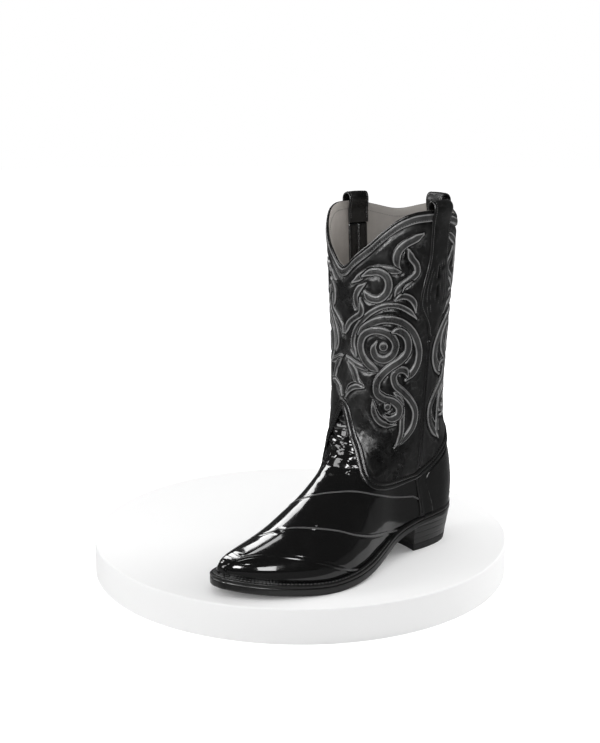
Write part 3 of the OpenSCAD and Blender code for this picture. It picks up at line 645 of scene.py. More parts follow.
# ---------------------------------------------------------------- scroll work of the leg
# Bands on the front left quarter: half width, then points (mm round from the front centre, height).
# Most of these points were printed by a separate fitting script and are not worked out here.
BAND_LIST = [
    (2.6, [(16.2, 206), (11.7, 216), (13.9, 228), (21.6, 240), (32.4, 250), (44.5, 256), (56.7, 256),
           (67.3, 251), (76.3, 243)]),
    (3.8, [(18.2, 227), (27.7, 236), (39.4, 242), (50.6, 243), (61, 240), (70.2, 233), (77.4, 223),
           (81.7, 211), (81, 199), (75.8, 190), (69.1, 183)]),
    (3.6, [(78.1, 323), (69.3, 318), (61.7, 314), (56, 308), (54, 301), (54.4, 296), (57.6, 290)]),
    (3.3, [(58.3, 288), (48.1, 290), (38.7, 291), (31, 289), (24.1, 285), (17.3, 280), (11.2, 276)]),
    (3.0, [(25.2, 276), (19.1, 271), (15.7, 264), (17.1, 255), (20.9, 247)]),
    (3.6, [(24.5, 269), (29.9, 263), (37.8, 262), (44.8, 267), (47.7, 276), (45, 284), (38.7, 288),
           (29.9, 287), (22.3, 283)]),
    (3.2, [(64.6, 309), (67.5, 301), (72.7, 294), (73.6, 287), (67.9, 281), (59.9, 275), (55.1, 269),
           (53.8, 263)]),
    (3.0, [(53.8, 261), (59.6, 265), (66.4, 264), (72, 259), (74.9, 249)]),
    (1.4, [(69.1, 279), (62.6, 274), (60.1, 269)]),
    (3.0, [(1.4, 226), (7.4, 237), (14.8, 243), (20.5, 247), (20, 262)]),
    (2.6, [(2.7, 204), (15.1, 198), (26.1, 195), (38.7, 194)]),
    (3.0, [(5.8, 200), (14.4, 191), (18.4, 182), (25.6, 177)]),
    (2.8, [(25.9, 176), (16, 176), (8.3, 172), (3.1, 164)]),
    (3.7, [(39.6, 193), (30.1, 198.5), (23, 207), (20.6, 217), (24, 226.5), (32.5, 231.5), (43, 231.5),
           (51.5, 227), (56.4, 218), (53.6, 208.8), (45, 204), (37, 207), (34.4, 214.5), (37.6, 221.2)]),
    (3.4, [(71.3, 187), (67.7, 193), (61.4, 194), (56.5, 189), (58.3, 180), (66.8, 172), (76, 163),
           (82.8, 151), (81.7, 138), (74.9, 127), (68.8, 121), (64.1, 115)]),
    (2.6, [(58.3, 171), (64.4, 165), (67.7, 155), (68.6, 142), (68.8, 130), (67.3, 122), (64.6, 116)]),
    (3.0, [(36.9, 162), (38.7, 153), (45.2, 144), (54, 140), (63, 140)]),
    (3.8, [(52.5, 230.5), (57.5, 232), (64, 229), (68.8, 221), (68.6, 211), (63.2, 204), (54, 198),
           (45, 190), (39.6, 181), (40.7, 171), (47.9, 166), (57.8, 163), (64.6, 156), (63.9, 149),
           (56.9, 146), (49.5, 149)]),
]
BALLS = [(44.4, 216.6, 4.4), (52.2, 158, 3.6)]


def smooth_line(points, step=1.2):
    """Smooth curve through 2-D points, by their chord length."""
    p = np.asarray(points, float)
    s = run_of(p)
    q = np.linspace(0, s[-1], max(4, int(s[-1] / step)))
    return curve(np.column_stack([s, p]), q)


def near_line(x, z, line):
    """Distance to a polyline and the length along it at the nearest point, for arrays x, z."""
    best, along, run = np.full(x.shape, 1e9), np.zeros(x.shape), 0.0
    for a, b in zip(line[:-1], line[1:]):
        d = b - a
        ln = math.hypot(*d)
        t = np.clip(((x - a[0]) * d[0] + (z - a[1]) * d[1]) / ln**2, 0, 1)
        r = np.hypot(x - a[0] - t * d[0], z - a[1] - t * d[1])
        hit = r < best
        best, along = np.where(hit, r, best), np.where(hit, run + t * ln, along)
        run += ln
    return best, along


def band_width(half, s, total):
    """Half width of a band along its length: tapered to points at both ends."""
    return half * (0.3 + 0.7 * np.minimum(ease(s / 9 + 0.15), ease((total - s) / 12 + 0.05)))


def scroll_field(x, z, below_top):
    """edge: mm inside the nearest band that lies on top (negative outside); along: mm down it."""
    edge, along = np.full(x.shape, -8.0), np.zeros(x.shape)

    def lay(e, s, box):
        """Lays one band over what is there, with its own length where it is on top."""
        over = e > -1.2
        edge[box] = np.where(over, e, np.maximum(edge[box], e))
        along[box] = np.where(over, s, along[box])

    lay((3.8 - np.abs(below_top - 4.6)).ravel(), x.ravel(), np.ones(x.shape, bool))
    for half, pts in BAND_LIST:
        line = smooth_line(pts)
        m = half + 8
        box = ((x > line[:, 0].min() - m) & (x < line[:, 0].max() + m)
               & (z > line[:, 1].min() - m) & (z < line[:, 1].max() + m))
        d, s = near_line(x[box], z[box], line)
        total = np.linalg.norm(np.diff(line, axis=0), axis=1).sum()
        lay(band_width(half, s, total) - d, s, box)
    for bx, bz, r in BALLS:
        box = np.hypot(x - bx, z - bz) < r + 6
        lay(r - np.hypot(x[box] - bx, z[box] - bz), r * np.arctan2(z[box] - bz, x[box] - bx) + 20, box)
    return edge, along


BACK_SHARE, PRESS_FROM, PRESS_OVER = 0.6, 200, 140


def leg_chart(u, z):
    """Place on the pattern of a point of the leg: the front is mirrored about its centre line, the back
    repeats the front about the side seams, pressed down to its own top edge."""
    w = fold(u)
    back = w > LEFT
    front = np.where(back, 2 * LEFT - w, w)
    x = front * PER_TURN
    drop = (top_z(w) - top_z(front)) * BACK_SHARE
    return x, np.where(back, z - drop * np.clip((z - PRESS_FROM) / PRESS_OVER, 0, 1), z)


def relief(edge):
    """Height of the scroll work over the leather: a quick round rise at the edge to a full pad, a pressed
    channel just outside it, and leather that swells again away from the channel."""
    pad = 0.55 + 0.45 * np.sqrt(np.clip(edge / 3.0, 0, 1))
    up = ease((edge + 0.2) / 1.1) * pad
    channel = np.exp(-((edge + 0.9) / 0.8) ** 2)
    return 1.3 * up - 0.75 * channel + 0.9 * ease(-(edge + 1.0) / 5)


def round_edges(a, b, r):
    """Drop of the surface near its border: a quarter circle of radius r, from the distances a and b."""
    d = np.minimum(np.minimum(a, b), r) / r
    return r * (1 - np.sqrt(np.clip(1 - (1 - d) ** 2, 0, 1)))


def creases(p, size, seed, sharp=0.22):
    """Folded leather: narrow valleys where a stretched wave crosses zero."""
    q = p * np.array([0.55, 0.8, 1.5])
    w = wave(q, size, seed, 2) + 0.5 * wave(q, size * 0.6, seed + 1, 2)
    return np.exp(-((w / sharp) ** 2))


def above_joint(u):
    """Lower border of the leg: the joint, moved up by its gap."""
    return joint(u) + JOINT_GAP


def below_joint(u):
    """Upper border of the foot: the joint, moved down by its gap."""
    return joint(u) - JOINT_GAP


def leg_panel(name, u0, u1, nu, nv):
    """Panel of the leg between two turns: skin moved out by relief and soft waves, with round rims."""
    u = np.linspace(u0, u1, nu)[:, None]
    t = np.linspace(0, 1, nv)[None, :]
    lo, hi = above_joint(u), top(u)
    v = lo + (hi - lo) * t
    u = np.broadcast_to(u, v.shape)
    base, nrm = at(u, v), out_of(u, v)
    z = base[..., 2]
    x, zp = leg_chart(u, z)
    edge, along = scroll_field(x, zp, (hi - v) * per_v(u, v))
    w = fold(u)
    soft = 0.35 * wave(base * [1, 1, 0.55], 34, 3) + 0.14 * wave(base, 11, 5)
    ankle = np.clip((150 - z) / 60, 0, 1) * np.clip((0.2 - w) / 0.2, 0, 1)
    soft = soft * np.clip((edge < 0) * 0.7 + 0.3, 0, 1) - 0.9 * ankle * creases(base, 26, 11, 0.3)
    pu = per_u(u, v)
    low, high = (v - lo) * ROUGH_MM, (hi - v) * ROUGH_MM
    rim = round_edges((u - u0) * pu, (u1 - u) * pu, 0.8) + round_edges(low, high, 0.8)
    o = relief(edge) + soft * ease(low / 10) * ease(high / 8) - rim
    mesh = shell(base + o[..., None] * nrm, base - LEATHER_BACK * nrm, every=10)
    k = list(range(0, nv - 1, 10)) + [nv - 1]
    both = [np.concatenate([f.ravel(), f[:, k].ravel()]) for f in (edge, along)]
    piece(name, mesh, "burnished_leather", floats={"edge": both[0], "along": both[1]})


SLIT = 0.35 / float(per_u(LEFT, 0.7))
FRONT_HALF = (-LEFT + SLIT, LEFT - SLIT)
HEEL_HALF = (LEFT + SLIT, RIGHT - SLIT)
BACK_LEFT, BACK_RIGHT = (LEFT + SLIT, BACK - SLIT), (BACK + SLIT, RIGHT - SLIT)
leg_panel("front_shaft_panel", *FRONT_HALF, 250, 320)
leg_panel("back_left_shaft_panel", *BACK_LEFT, 150, 340)
leg_panel("back_right_shaft_panel", *BACK_RIGHT, 150, 340)


SEWN_IN, SEWN_PITCH, SEWN_HEIGHT = 0.45, 1.6, 0.62  # mm inside the band's edge, apart, off the skin


def scroll_stitching(name, place, u0, u1):
    """Thread along both edges of every band on one panel. place(x, z) turns pattern points into skin
    points; a stitch stays where its band lies on top and it is on the panel."""
    xs, ts = [], []
    for half, pts in BAND_LIST:
        line = smooth_line(pts, 0.8)
        t = unit(np.gradient(line, axis=0))
        s = run_of(line)
        w = band_width(half, s, s[-1]) - SEWN_IN
        for side in (1, -1):
            e = line + side * w[:, None] * np.column_stack([-t[:, 1], t[:, 0]])
            r = run_of(e)
            q = np.arange(0.4, r[-1], SEWN_PITCH)
            xs.append(np.column_stack([np.interp(q, r, e[:, k]) for k in (0, 1)]))
            ts.append(np.column_stack([np.interp(q, r, t[:, k]) for k in (0, 1)]))
    for bx, bz, r in BALLS:
        a = np.arange(0, 2 * np.pi, SEWN_PITCH / (r - SEWN_IN))
        xs.append(np.column_stack([bx + (r - SEWN_IN) * np.cos(a), bz + (r - SEWN_IN) * np.sin(a)]))
        ts.append(np.column_stack([-np.sin(a), np.cos(a)]))
    x, t = np.vstack(xs), np.vstack(ts)
    edge, _ = scroll_field(x[:, 0], x[:, 1], np.full(len(x), 50.0))
    keep = (np.abs(edge - SEWN_IN) < 0.4) & (x[:, 0] > 0.4)
    x, t = x[keep], t[keep]
    sets = []
    for u, z, u2, z2 in place(x, x + 0.4 * t):
        v, v2 = v_of(z), v_of(z2)
        on = (v < top(u) - 0.006) & (v > joint(u) + 0.02) & (u > u0) & (u < u1)
        nrm = out_of(u, v)
        p = at(u, v, np.full(len(u), SEWN_HEIGHT))
        d = unit(at(u2, v2, np.full(len(u), SEWN_HEIGHT)) - p)
        sets.append((p[on], d[on], nrm[on]))
    p, d, nrm = (np.vstack([q[k] for q in sets]) for k in range(3))
    sewing(name, thread_pads(p, d, nrm, 1.15, 0.5, 0.42), "pale_thread")


def front_place(x, y):
    """Pattern points on the front panel, once on each side of the centre line."""
    for k in (1, -1):
        yield k * x[:, 0] / PER_TURN, x[:, 1], k * y[:, 0] / PER_TURN, y[:, 1]


def back_place(x, y):
    """Pattern points on both back panels: the chart of the leg turned round."""
    for k in (1, -1):
        out = []
        for q in (x, y):
            w = q[:, 0] / PER_TURN
            drop = (top_z(2 * LEFT - w) - top_z(w)) * BACK_SHARE / PRESS_OVER
            z = np.where(q[:, 1] > PRESS_FROM, (q[:, 1] - drop * PRESS_FROM) / (1 - drop), q[:, 1])
            u = 2 * LEFT - w
            out += [u if k > 0 else 1 - u, z]
        yield out[0], out[1], out[2], out[3]


scroll_stitching("front_scroll_stitching", front_place, -LEFT + 3 * SLIT, LEFT - 3 * SLIT)
scroll_stitching("back_scroll_stitching", back_place, LEFT + 3 * SLIT, RIGHT - 3 * SLIT)


def lining(name, u0, u1, v0, v1, o0, o1, nu, nv, raise_by=0.0):
    """Smooth lining between two depths, from v0(u) to v1(u), with rounded borders and soft waves."""
    u = np.linspace(u0, u1, nu)[:, None]
    t = np.linspace(0, 1, nv)[None, :]
    lo, hi = v0(u), v1(u) + raise_by / ROUGH_MM
    v = lo + (hi - lo) * t
    u = np.broadcast_to(u, v.shape)
    p, nrm = at(u, v), out_of(u, v)
    high = (hi - v) * ROUGH_MM
    rim = round_edges((v - lo) * ROUGH_MM, high, 0.5)
    soft = 0.25 * wave(p, 40, 21) * ease(high / 12)
    out, back = o0 - rim, o1 + rim - np.maximum(soft, 0)
    piece(name, shell(p + out[..., None] * nrm, p + back[..., None] * nrm), "lining_leather")


def low_border(u):
    """Lower border of the foot lining, a little over the welt."""
    return 0 * u + 0.012


LEG_DEPTHS, FOOT_DEPTHS = (-1.75, -2.9), (-3.25, -4.4)
lining("front_shaft_lining", *FRONT_HALF, above_joint, top, *LEG_DEPTHS, 160, 90, 1.5)
lining("back_left_shaft_lining", *BACK_LEFT, above_joint, top, *LEG_DEPTHS, 90, 90, 1.5)
lining("back_right_shaft_lining", *BACK_RIGHT, above_joint, top, *LEG_DEPTHS, 90, 90, 1.5)
lining("vamp_lining", *FRONT_HALF, low_border, below_joint, *FOOT_DEPTHS, 200, 60)
lining("heel_lining", *HEEL_HALF, low_border, below_joint, *FOOT_DEPTHS, 160, 50)


# ---------------------------------------------------------------- foot leather
# Seams of the vamp strips on the skin: (turn round the boot, share of the rise). Where the near side
# shows them, the points follow the output of a separate fitting script.
STRIP_SEAMS = [
    [(-0.052, 0.0), (-0.03, 0.055), (0.004, 0.112), (0.039, 0.15), (0.083, 0.146), (0.115, 0.118),
     (0.152, 0.034), (0.163, 0.0)],
    [(-0.185, 0.0), (-0.145, 0.07), (-0.095, 0.14), (-0.044, 0.19), (0.012, 0.238), (0.062, 0.244),
     (0.113, 0.226), (0.182, 0.13), (0.214, 0.012), (0.216, 0.0)],
    [(-0.25, 0.03), (-0.215, 0.11), (-0.165, 0.17), (-0.125, 0.215), (-0.084, 0.256), (0.004, 0.306),
     (0.068, 0.318), (0.13, 0.31), (0.197, 0.258), (0.245, 0.17), (0.257, 0.135)],
]


def seam_path(points, n=260):
    """Curve through points of the skin, by their rough lengths; returns turns and rises."""
    p = np.asarray(points, float)
    w = p * [500, 300]
    s = run_of(w)
    q = curve(np.column_stack([s, p]), np.linspace(0, s[-1], n))
    return q[:, 0], np.maximum(q[:, 1], 0)


def nearest(p, path):
    """Distance of each point of an array to the nearest point of a finely sampled path."""
    flat = p.reshape(-1, 3)
    out = np.empty(len(flat))
    for a in range(0, len(flat), 20000):
        b = flat[a:a + 20000]
        out[a:a + 20000] = np.sqrt(((b[:, None] - path[None]) ** 2).sum(-1).min(1))
    return out.reshape(p.shape[:-1])


SEAM_POINTS = [at(*seam_path(s)) for s in STRIP_SEAMS]


def foot_panel(name, u0, u1, nu, nv, shape, every=8):
    """Panel of the foot: skin moved out by shape(u, v, hi, points), with round front and back rims."""
    u = np.linspace(u0, u1, nu)[:, None]
    t = np.linspace(0, 1, nv)[None, :] ** 0.92
    hi = below_joint(u)
    v = hi * t
    u = np.broadcast_to(u, v.shape)
    hi = np.broadcast_to(hi, v.shape)
    base, nrm = at(u, v), out_of(u, v)
    o, mark = shape(u, v, hi, base)
    pu = per_u(u, v)
    o = o - round_edges((u - u0) * pu, (u1 - u) * pu, 0.7)
    mesh = shell(base + o[..., None] * nrm, base - LEATHER_BACK * nrm, every=every)
    k = list(range(0, nv - 1, every)) + [nv - 1]
    piece(name, mesh, "gloss_leather", floats={"edge": np.concatenate([mark.ravel(), mark[:, k].ravel()])})


def vamp_shape(u, v, hi, p):
    """Strips that swell a little between sunken seams, a welted ridge at each seam, and deep folds
    where the foot bends into the leg."""
    d = np.stack([nearest(p, s) for s in SEAM_POINTS])
    near = d.min(0)
    ridge = 0.12 * np.exp(-(near / 0.9) ** 2) - 0.22 * np.exp(-((near - 1.7) / 0.6) ** 2)
    o = ridge + 0.18 * (1 - np.exp(-(near / 9) ** 2))
    w = np.abs(u)
    bend = ease((v - 0.325) / 0.09) * (1 - ease((w - 0.13) / 0.09))
    o = o - bend * (2.3 * creases(p, 30, 31, 0.55) + 0.7 * creases(p, 15, 37, 0.5) - 0.7)
    flex = ease((v - 0.2) / 0.1) * (1 - ease((v - 0.33) / 0.08)) * (1 - ease((w - 0.16) / 0.06))
    o = o - 0.1 * flex * creases(p, 26, 41, 0.5)
    o = o + 1.9 * np.exp(-((v - 0.1) / 0.075) ** 2) * np.exp(-(w / 0.12) ** 2)
    return o + 0.05 * wave(p, 40, 43) * ease(v / 0.05), near


def counter_shape(u, v, hi, p):
    """Overlay behind the side seams with a rounded front corner: thickness steps up inside its edge."""
    a = (0.5 - LEFT - 0.018 - np.abs(u - 0.5) - 0.05 * (hi - v)) * ROUGH_MM
    b = (hi - v) * 300 - 9
    r = 14.0
    both = (a < r) & (b < r)
    d = np.where(both, r - np.hypot(r - np.minimum(a, r), r - np.minimum(b, r)), np.minimum(a, b))
    o = 0.75 * ease((d + 0.3) / 0.8) - 0.2 * np.exp(-((d + 0.7) / 0.5) ** 2)
    bend = ease((v - 0.24) / 0.1) * ease((0.12 - np.abs(np.abs(u - 0.5) - 0.2)) / 0.1)
    return o + 0.2 * wave(p, 30, 47) * ease(v / 0.05) - 0.35 * bend * creases(p, 14, 53, 0.3), d


foot_panel("vamp", *FRONT_HALF, 420, 195, vamp_shape)
foot_panel("counter_cover", *HEEL_HALF, 360, 170, counter_shape)
rows = [(p + 0.1 * n, n) for p, n in [on_skin(*seam_path(s)) for s in STRIP_SEAMS]]
sewing("strip_stitching", joined([stitches(rows, 1.25, 2.4, 0.42, 0.3, lean) for lean in (52, -52)]))


# ---------------------------------------------------------------- bands and piping
def ribbon(path, nrm, width, profile, closed=False, back=0.0):
    """A strip on a path: profile rows (f, h) give the place across (share of width) and the height in
    mm; the back lies at height back. Returns (front grid, back grid)."""
    t = np.roll(path, -1, 0) - np.roll(path, 1, 0) if closed else np.gradient(path, axis=0)
    b = unit(np.cross(nrm, t))
    w = np.broadcast_to(np.asarray(width, float), (len(path),))
    f, h = profile[..., 0], profile[..., 1]
    side = (w[:, None] * f)[..., None] * b[:, None]
    return path[:, None] + side + h[..., None] * nrm[:, None], path[:, None] + side + back * nrm[:, None]


def beads(n, marks, rise, dip, edge):
    """Profile across a strip: rolled ridges at the marks, dips between them, rounded outer edges."""
    f = np.linspace(-0.5, 0.5, n)
    near = np.min(np.abs(f[:, None] - np.asarray(marks)[None]), axis=1)
    r = 0.5 * abs(marks[1] - marks[0])
    ridge = np.sqrt(np.clip(1 - (near / r) ** 2, 0, 1))
    outer = np.sqrt(np.clip(1 - ((np.abs(f) - marks[-1]) / (0.5 - marks[-1])) ** 2, 0, 1))
    h = np.where(np.abs(f) > marks[-1], edge + (rise - edge) * outer, dip + (rise - dip) * ridge)
    return np.column_stack([f, h])


def collar():
    """Band over the joint of foot and leg: two rolled ridges, thicker where it is knotted over a seam."""
    n = 900
    u = np.arange(n) / n
    p, nrm = on_skin(u, joint(u))
    knot = sum(np.exp(-((u - s) * ROUGH_MM / 4.5) ** 2) for s in (LEFT, RIGHT))
    prof = beads(27, (-0.26, 0.26), 1.75, 0.55, 0.4)[None] * np.ones((n, 1, 1))
    swell = 0.7 * knot[:, None] * np.exp(-(prof[..., 0] / 0.2) ** 2)
    prof[..., 1] = prof[..., 1] * (1 + 0.35 * knot[:, None]) + 0.35 + swell
    wob = 1 + 0.05 * np.sin(u * 97) + 0.04 * np.sin(u * 41 + 1)
    front, back = ribbon(p, nrm, 9 * wob * (1 + 0.2 * knot), prof, True, 0.35)
    piece("collar_band", shell(front, back, ring=True), "trim_leather")
    rows = []
    for f, h in ((-0.45, 1.15), (0.45, 1.15), (0.0, 1.0)):
        g = ribbon(p, nrm, 9 * wob, np.tile(np.array([[f, h]]), (n, 1, 1)), True)[0]
        q = np.vstack([g[:, 0], g[:1, 0]])
        rows.append((q, np.vstack([nrm, nrm[:1]])))
    sewing("collar_stitching", stitches(rows, 2.9, 1.9, 0.55, 0.5, 8), "dark_thread")


collar()


def piping(name, pieces):
    """Double bead over a seam; returns the rows for a dashed thread in the furrow between the beads."""
    n, parts, rows = 170, [], []
    for u, v0, v1 in pieces:
        p, nrm = on_skin(np.full(n, u), np.linspace(v0, v1, n))
        prof = np.tile(beads(19, (-0.25, 0.25), 1.75, 0.5, 0.1)[None], (n, 1, 1))
        ends = np.clip(from_ends(n) / 3, 0.25, 1)[:, None]
        prof[..., 1] = prof[..., 1] * ends + 0.3
        front, back = ribbon(p, nrm, 5.6, prof, False, 0.3)
        parts.append(shell(np.swapaxes(front, 0, 1)[::-1], np.swapaxes(back, 0, 1)[::-1]))
        rows.append((p[3:-3] + 0.75 * nrm[3:-3], nrm[3:-3]))
    piece(name, joined(parts), "trim_leather")
    return rows


STRAP_LENGTH, STRAP_Z = 119.0, TOP
TIP_V = float(v_of(STRAP_Z - STRAP_LENGTH - 1.5))


def seam_run(u):
    """The two stretches of a seam, under and over the collar, as (turn, low rise, high rise)."""
    j, k = float(joint(u)), 4.7 / float(per_v(u, joint(u)))
    return [(u, 0.004, j - k), (u, j + k, TIP_V)]


rows = piping("left_seam_piping", seam_run(LEFT))
rows += piping("right_seam_piping", seam_run(RIGHT))
rows += piping("back_seam_piping", seam_run(BACK)[1:])
sewing("piping_stitching", stitches(rows, 2.6, 1.7, 0.5, 0.35))


def binding():
    """Rolled edge along the top: a half round bead over the outer leather, down to its outside."""
    n, m = 900, 14
    u = np.arange(n) / n
    a = np.linspace(-0.15 * np.pi, 1.05 * np.pi, m)
    v = top(u)
    o = -0.55 + 1.15 * np.cos(a)
    h = np.where(np.sin(a) > 0, 1.35 * np.sin(a), 1.9 * np.sin(a))
    uu, vv = np.broadcast_arrays(u[:, None], v[:, None] + (0.35 + h)[None] / ROUGH_MM)
    front = at(uu, vv, np.broadcast_to(o, uu.shape))
    under = np.broadcast_to(v[:, None] + 0.1 / ROUGH_MM, uu.shape)
    inner = at(uu, under, np.broadcast_to(np.linspace(0.1, -1.4, m), uu.shape))
    piece("topline_binding", shell(front, inner, ring=True), "trim_leather")
    for name, depth, o, look in (("topline_stitching", 6.3, 0.95, "pale_thread"),
                                 ("lining_stitching", 6.0, -3.0, "thread")):
        row = v - depth / per_v(u, v)
        q, nn = on_skin(np.append(u, 1), np.append(row, row[0]), o)
        sewing(name, stitches([(q, -nn if o < 0 else nn)], 2.5, 1.7, 0.5, 0.35), look)


binding()


# ---------------------------------------------------------------- pull straps
def strap_path():
    """Centre line of a strap: rows of height over the side top edge, distance off the skin, half
    width, evenly spaced. A flared leg outside, a standing loop, a short leg inside."""
    t, half, reach, rise, tip = 2.0, 12.5, 5.0, 9.5, 7.0
    o_out, o_in = 0.2 + t / 2, -LEG_WALL - 0.2 - t / 2
    mid = (o_out + o_in) / 2
    d = np.concatenate([np.linspace(0, tip, 16), np.linspace(8, STRAP_LENGTH - 14, 60)])
    point = np.sqrt(np.clip(1 - (1 - d / tip) ** 2, 0, 1)) * 7.0 + 0.5
    flare = 7.5 + (20 - 7.5) * ease((d - tip) / 29)
    leg = 20 + (half - 20) * ease((d - 36) / 46)
    w = np.where(d <= tip, point, np.where(d < 36, flare, leg))
    outer = np.column_stack([d - STRAP_LENGTH, np.full(len(d), o_out), w])
    a = np.radians(np.linspace(0, 180, 25))
    arc = np.column_stack([rise * (0.35 + 0.65 * np.sin(a)), mid + reach * np.cos(a), np.full(25, half)])
    inner = np.column_stack([-np.array([9, 13, 20.0]), np.full(3, o_in), np.full(3, half)])
    rows = np.vstack([outer, [[-9, o_out + 0.3, half]], arc, inner])
    s = np.concatenate([[0], np.cumsum(np.hypot(*np.diff(rows[:, :2], axis=0).T))])
    return curve(np.column_stack([s, rows]), np.linspace(0, s[-1], 330)), s[-1]


STRAP_ROWS, STRAP_RUN = strap_path()


def strap_point(u, i, x, lift):
    """Point of the strap at row i (may be fractional), x mm across, lift mm off its centre plane."""
    k = np.arange(len(STRAP_ROWS))
    z, o = np.interp(i, k, STRAP_ROWS[:, 0]), np.interp(i, k, STRAP_ROWS[:, 1])
    g = unit(np.gradient(STRAP_ROWS[:, :2], axis=0))
    dz, do = np.interp(i, k, g[:, 0]), np.interp(i, k, g[:, 1])
    z, o = STRAP_Z + z - lift * do, o + lift * dz
    v = v_of(z)
    return at(u - x / per_u(u, np.minimum(v, 1)), v, o)


def strap(name, u):
    """Pull strap: a band of leather with rounded edges, a pressed line along its border, slits and
    stitched arches in its flared foot. The slits, stored as its edge float, get painted shade in their
    colour."""
    n = len(STRAP_ROWS)
    i = np.arange(n)[:, None].astype(float)
    half = STRAP_ROWS[:, 2][:, None]
    f = np.sin(np.linspace(-1, 1, 45) * np.pi / 2)[None]
    x = half * f
    d = STRAP_RUN * i / (n - 1)
    rim = np.minimum(half - np.abs(x), d)
    edge = np.sqrt(np.clip(1 - (1 - np.clip(rim / 1.1, 0, 1)) ** 2, 0, 1))
    crown = 0.45 * (1 - (x / half) ** 2)
    groove = 0.3 * np.exp(-((rim - 2.2) / 0.45) ** 2)
    slit = sum(np.exp(-((x - 0.4) / (0.9 + 0.5 * np.sin(np.pi * np.clip((d - a) / (b - a), 0, 1)))) ** 4)
               * ease((d - a) / 4) * (1 - ease((d - b + 4) / 4)) for a, b in ((38, 53), (56, 71)))
    wrinkle = (0.28 * ease(d / 8) * (1 - ease((d - 70) / 20))
               * np.sin(d / 3.1 + 1.7 * np.sin(x / 4.3 + d / 9)) * np.sin(x / 3.7 - d / 7))
    at_row = i + 0 * x
    top_face = strap_point(u, at_row, x, edge + crown * edge - groove - 1.2 * slit + wrinkle)
    back_face = strap_point(u, at_row, x, -edge)
    # the slit mask goes into the edge float, where strap_leather paints shade into the slits
    piece(name, shell(top_face, back_face), "strap_leather", floats={"edge": np.tile(slit.ravel(), 2)})

    def row(down, across):
        """A row of stitches on the strap: points and normals, down it and across it in mm."""
        k = down / STRAP_RUN * (n - 1)
        q = strap_point(u, k, across, 1.1)
        return q, unit(strap_point(u, k, across, 2.1) - q)

    ds = np.linspace(2.4, STRAP_RUN - 3, 260)
    hw = np.interp(ds / STRAP_RUN * (n - 1), np.arange(n), STRAP_ROWS[:, 2]) - 2.2
    rows = [row(ds, hw), row(ds, -hw)]
    for w, d0, d1 in ((13.5, 22, 84), (9.5, 26, 78), (3.4, 33, 74)):
        up = np.linspace(0, 1, 50)
        waist = 0.72 + 0.28 * np.sin(np.pi * np.clip(up * 1.3, 0, 1))
        side = w * np.sqrt(np.clip(1 - up**2.6, 0, 1)) * waist
        down = d0 + (d1 - d0) * up
        rows += [row(down, side), row(down, -side)]
    sewing(name + "_stitching", stitches(rows, 2.1, 1.5, 0.5, 0.35))


SET_BACK = 4.5 / float(per_u(LEFT, 0.9))
STRAPS = {"left": LEFT + SET_BACK, "right": RIGHT - SET_BACK, "back": BACK}


def inner_strip(name, u):
    """Ribbed strip inside the leg, from below the strap down, with its beads let down at both ends."""
    n = 120
    v = np.linspace(float(v_of(TOP - 20.2)), float(v_of(TOP - 155)), n)
    p, nrm = on_skin(np.full(n, u), v, -3.1)
    prof = np.tile(beads(27, (-0.27, 0.27), 2.5, 0.9, 0.3)[None], (n, 1, 1))
    prof[..., 1] *= np.clip(from_ends(n) / 1.5, 0.3, 1)[:, None]
    piece(name, shell(*ribbon(p, -nrm, 23, prof)), "trim_leather")


for side, u in STRAPS.items():
    strap(side + "_pull_strap", u)
    inner_strip(side + "_inner_strip", u)


# ---------------------------------------------------------------- sole
REACH = [(0, 7), (0.08, 6.65), (0.13, 6), (0.18, 5.7), (0.225, 3.0), (0.26, 2.2), (0.5, 2.2)]
DROP_WELT, WELT = 0.1, 3.2
DROP_SOLE = DROP_WELT + WELT + 0.15
UNDER_FOOT = 5.4    # how far the welt reaches in under the foot
WELT_ROUND = 0.7    # radius of its outer edge
HEEL_SOLE = 5       # thickness of the sole at the heel


def edge_z(l):
    """Height of the welt line at a distance from the heel."""
    return curve(EDGE_Z, l)[..., 0]


def reach(u):
    """How far the sole stands out past the upper at a turn."""
    return curve(REACH, fold(u))[..., 0]


def outline(u, o):
    """Plan line of the upper at the welt, moved out by o, at the height of the feather edge."""
    u, o = np.broadcast_arrays(np.asarray(u, float), np.asarray(o, float))
    n = unit(out_of(u, np.zeros(u.shape))[..., :2])
    xy = skin(u, np.zeros(u.shape))[..., :2] + o[..., None] * n
    return np.concatenate([xy + SHIFT[:2], edge_z(-xy[..., 1])[..., None]], -1)


